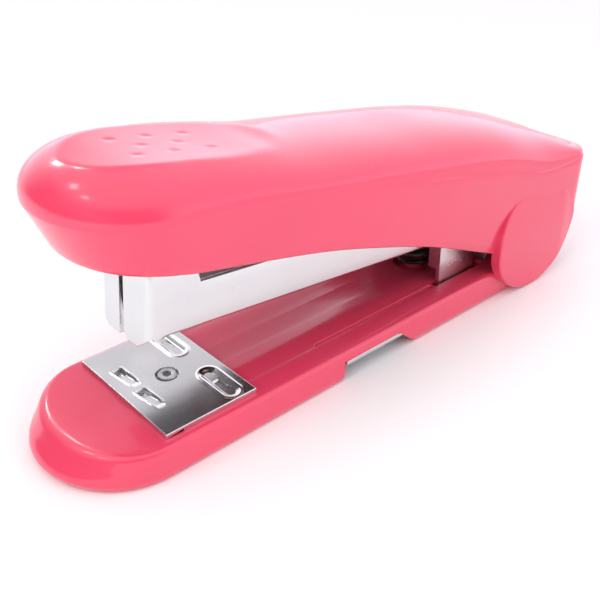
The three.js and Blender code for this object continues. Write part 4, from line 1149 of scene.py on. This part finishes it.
# %% Screws and rivet under the handle
CROSS_HALF, CROSS_REACH, CROSS_DEPTH = 0.28, 1.4, 0.5
screw_profile = rounded_profile([(0, 16.1), (1.0, 16.1), (1.0, 10.3), (2.4, 10.3), (2.3, 9.7), (1.5, 9.3),
                                 (0, 9.3)], 0.2)
for screw_x, place_name in ((-80.0, "front"), (-44.0, "rear")):
    points, faces = lathed(screw_profile, (screw_x, 0, 0), sides=40)
    x, y = points[:, 0] - screw_x, points[:, 1]
    cross = (np.minimum(np.abs(x), np.abs(y)) < CROSS_HALF) & (np.hypot(x, y) < CROSS_REACH)
    points[:, 2] += CROSS_DEPTH * (cross & (points[:, 2] < 9.6))
    screw = [(tilted(points, HANDLE_TILT), faces)]
    put_piece(f"cover_screw_{place_name}_head", screw, "handle", "dark_steel", [f"cover_screw_{place_name}"])
leaf_profile = rounded_profile([(0, 12.5), (1.2, 12.4), (1.7, 12.0), (0.6, 11.9), (0.6, 9.4), (1.7, 9.3),
                                (1.2, 8.8), (0, 8.7)], 0.2)
turned("leaf_rivet_head", leaf_profile, (-24.0, 0, 0), "handle", "zinc_steel", "leaf_rivet", "z", 28,
       HANDLE_TILT)

# %% [markdown]
# The leaf spring bows down from its rivet. Its free end stops just above the staples when the
# handle is pressed right down, so that it clears them over the whole stroke.

# %% The leaf spring
LEAF_TOP, LEAF_THICK, LEAF_HALF = 10.3, 0.6, 3.5
leaf_x = np.linspace(-20, -68, 25)
leaf_z = LEAF_TOP - 5.2 * smooth(-leaf_x, 30, 66) ** 1.2 + 0.3 * smooth(-leaf_x, 66, 68)
leaf_top = np.column_stack([leaf_x, leaf_z])
leaf_outline = np.vstack([leaf_top, leaf_top[::-1] - [0, LEAF_THICK]])
put_piece("leaf_spring_bowed", [band_of(leaf_outline, -LEAF_HALF, LEAF_HALF, 0.08, "xz", HANDLE_TILT)],
          "handle", "zinc_steel", ["leaf_spring"])

# %% [markdown]
# ## Sheet-metal and moulded parts whose CAD shape is right
#
# The rail, the pusher, the link, the bracket, the frame, the driver and the feet already have the
# right shape in the CAD model, but their edges are razor sharp, and no real edge is. A merged copy
# of each node, with its flat faces joined up again, takes a narrow bevel, which catches the light
# along every edge.

# %% Copies with broken edges
def broken_edges(node_name, body, slot_name, width):
    """A merged copy of a CAD node whose edges over 35 degrees get a bevel of the given width in
    millimetres."""
    copy = bmesh.new()
    copy.from_mesh(frame["nodes"][node_name].data)
    bmesh.ops.remove_doubles(copy, verts=copy.verts, dist=2e-6)
    bmesh.ops.dissolve_limit(copy, angle_limit=math.radians(0.8), verts=copy.verts, edges=copy.edges)
    mesh = bpy.data.meshes.new(node_name + "_edges")
    copy.to_mesh(mesh)
    copy.free()
    bevel(dress(node_name + "_made", mesh, body, slot_name, [node_name], None, 35), width, 35)


for row in (("base_plate", "base", "zinc_steel", 0.2),
            ("foot_front", "base", "rubber", 0.5),
            ("foot_rear", "base", "rubber", 0.5),
            ("pivot_bracket", "base", "zinc_steel", 0.2),
            ("staple_rail", "magazine", "nickel_steel", 0.15),
            ("rail_block", "magazine", "black_plastic", 0.4),
            ("limit_link", "magazine", "nickel_steel", 0.18),
            ("pusher", "pusher", "dark_steel", 0.15),
            ("handle_frame", "handle", "zinc_steel", 0.2),
            ("driver_blade", "handle", "dark_steel", 0.1)):
    broken_edges(*row)

# %% Remaining nodes keep the finish of their slot
for row in frame["record"]["subparts"]:
    node = frame["nodes"][row["node"]]
    node.data.materials.clear()
    node.data.materials.append(finishes[slot_finish[row["material_slot"]]])
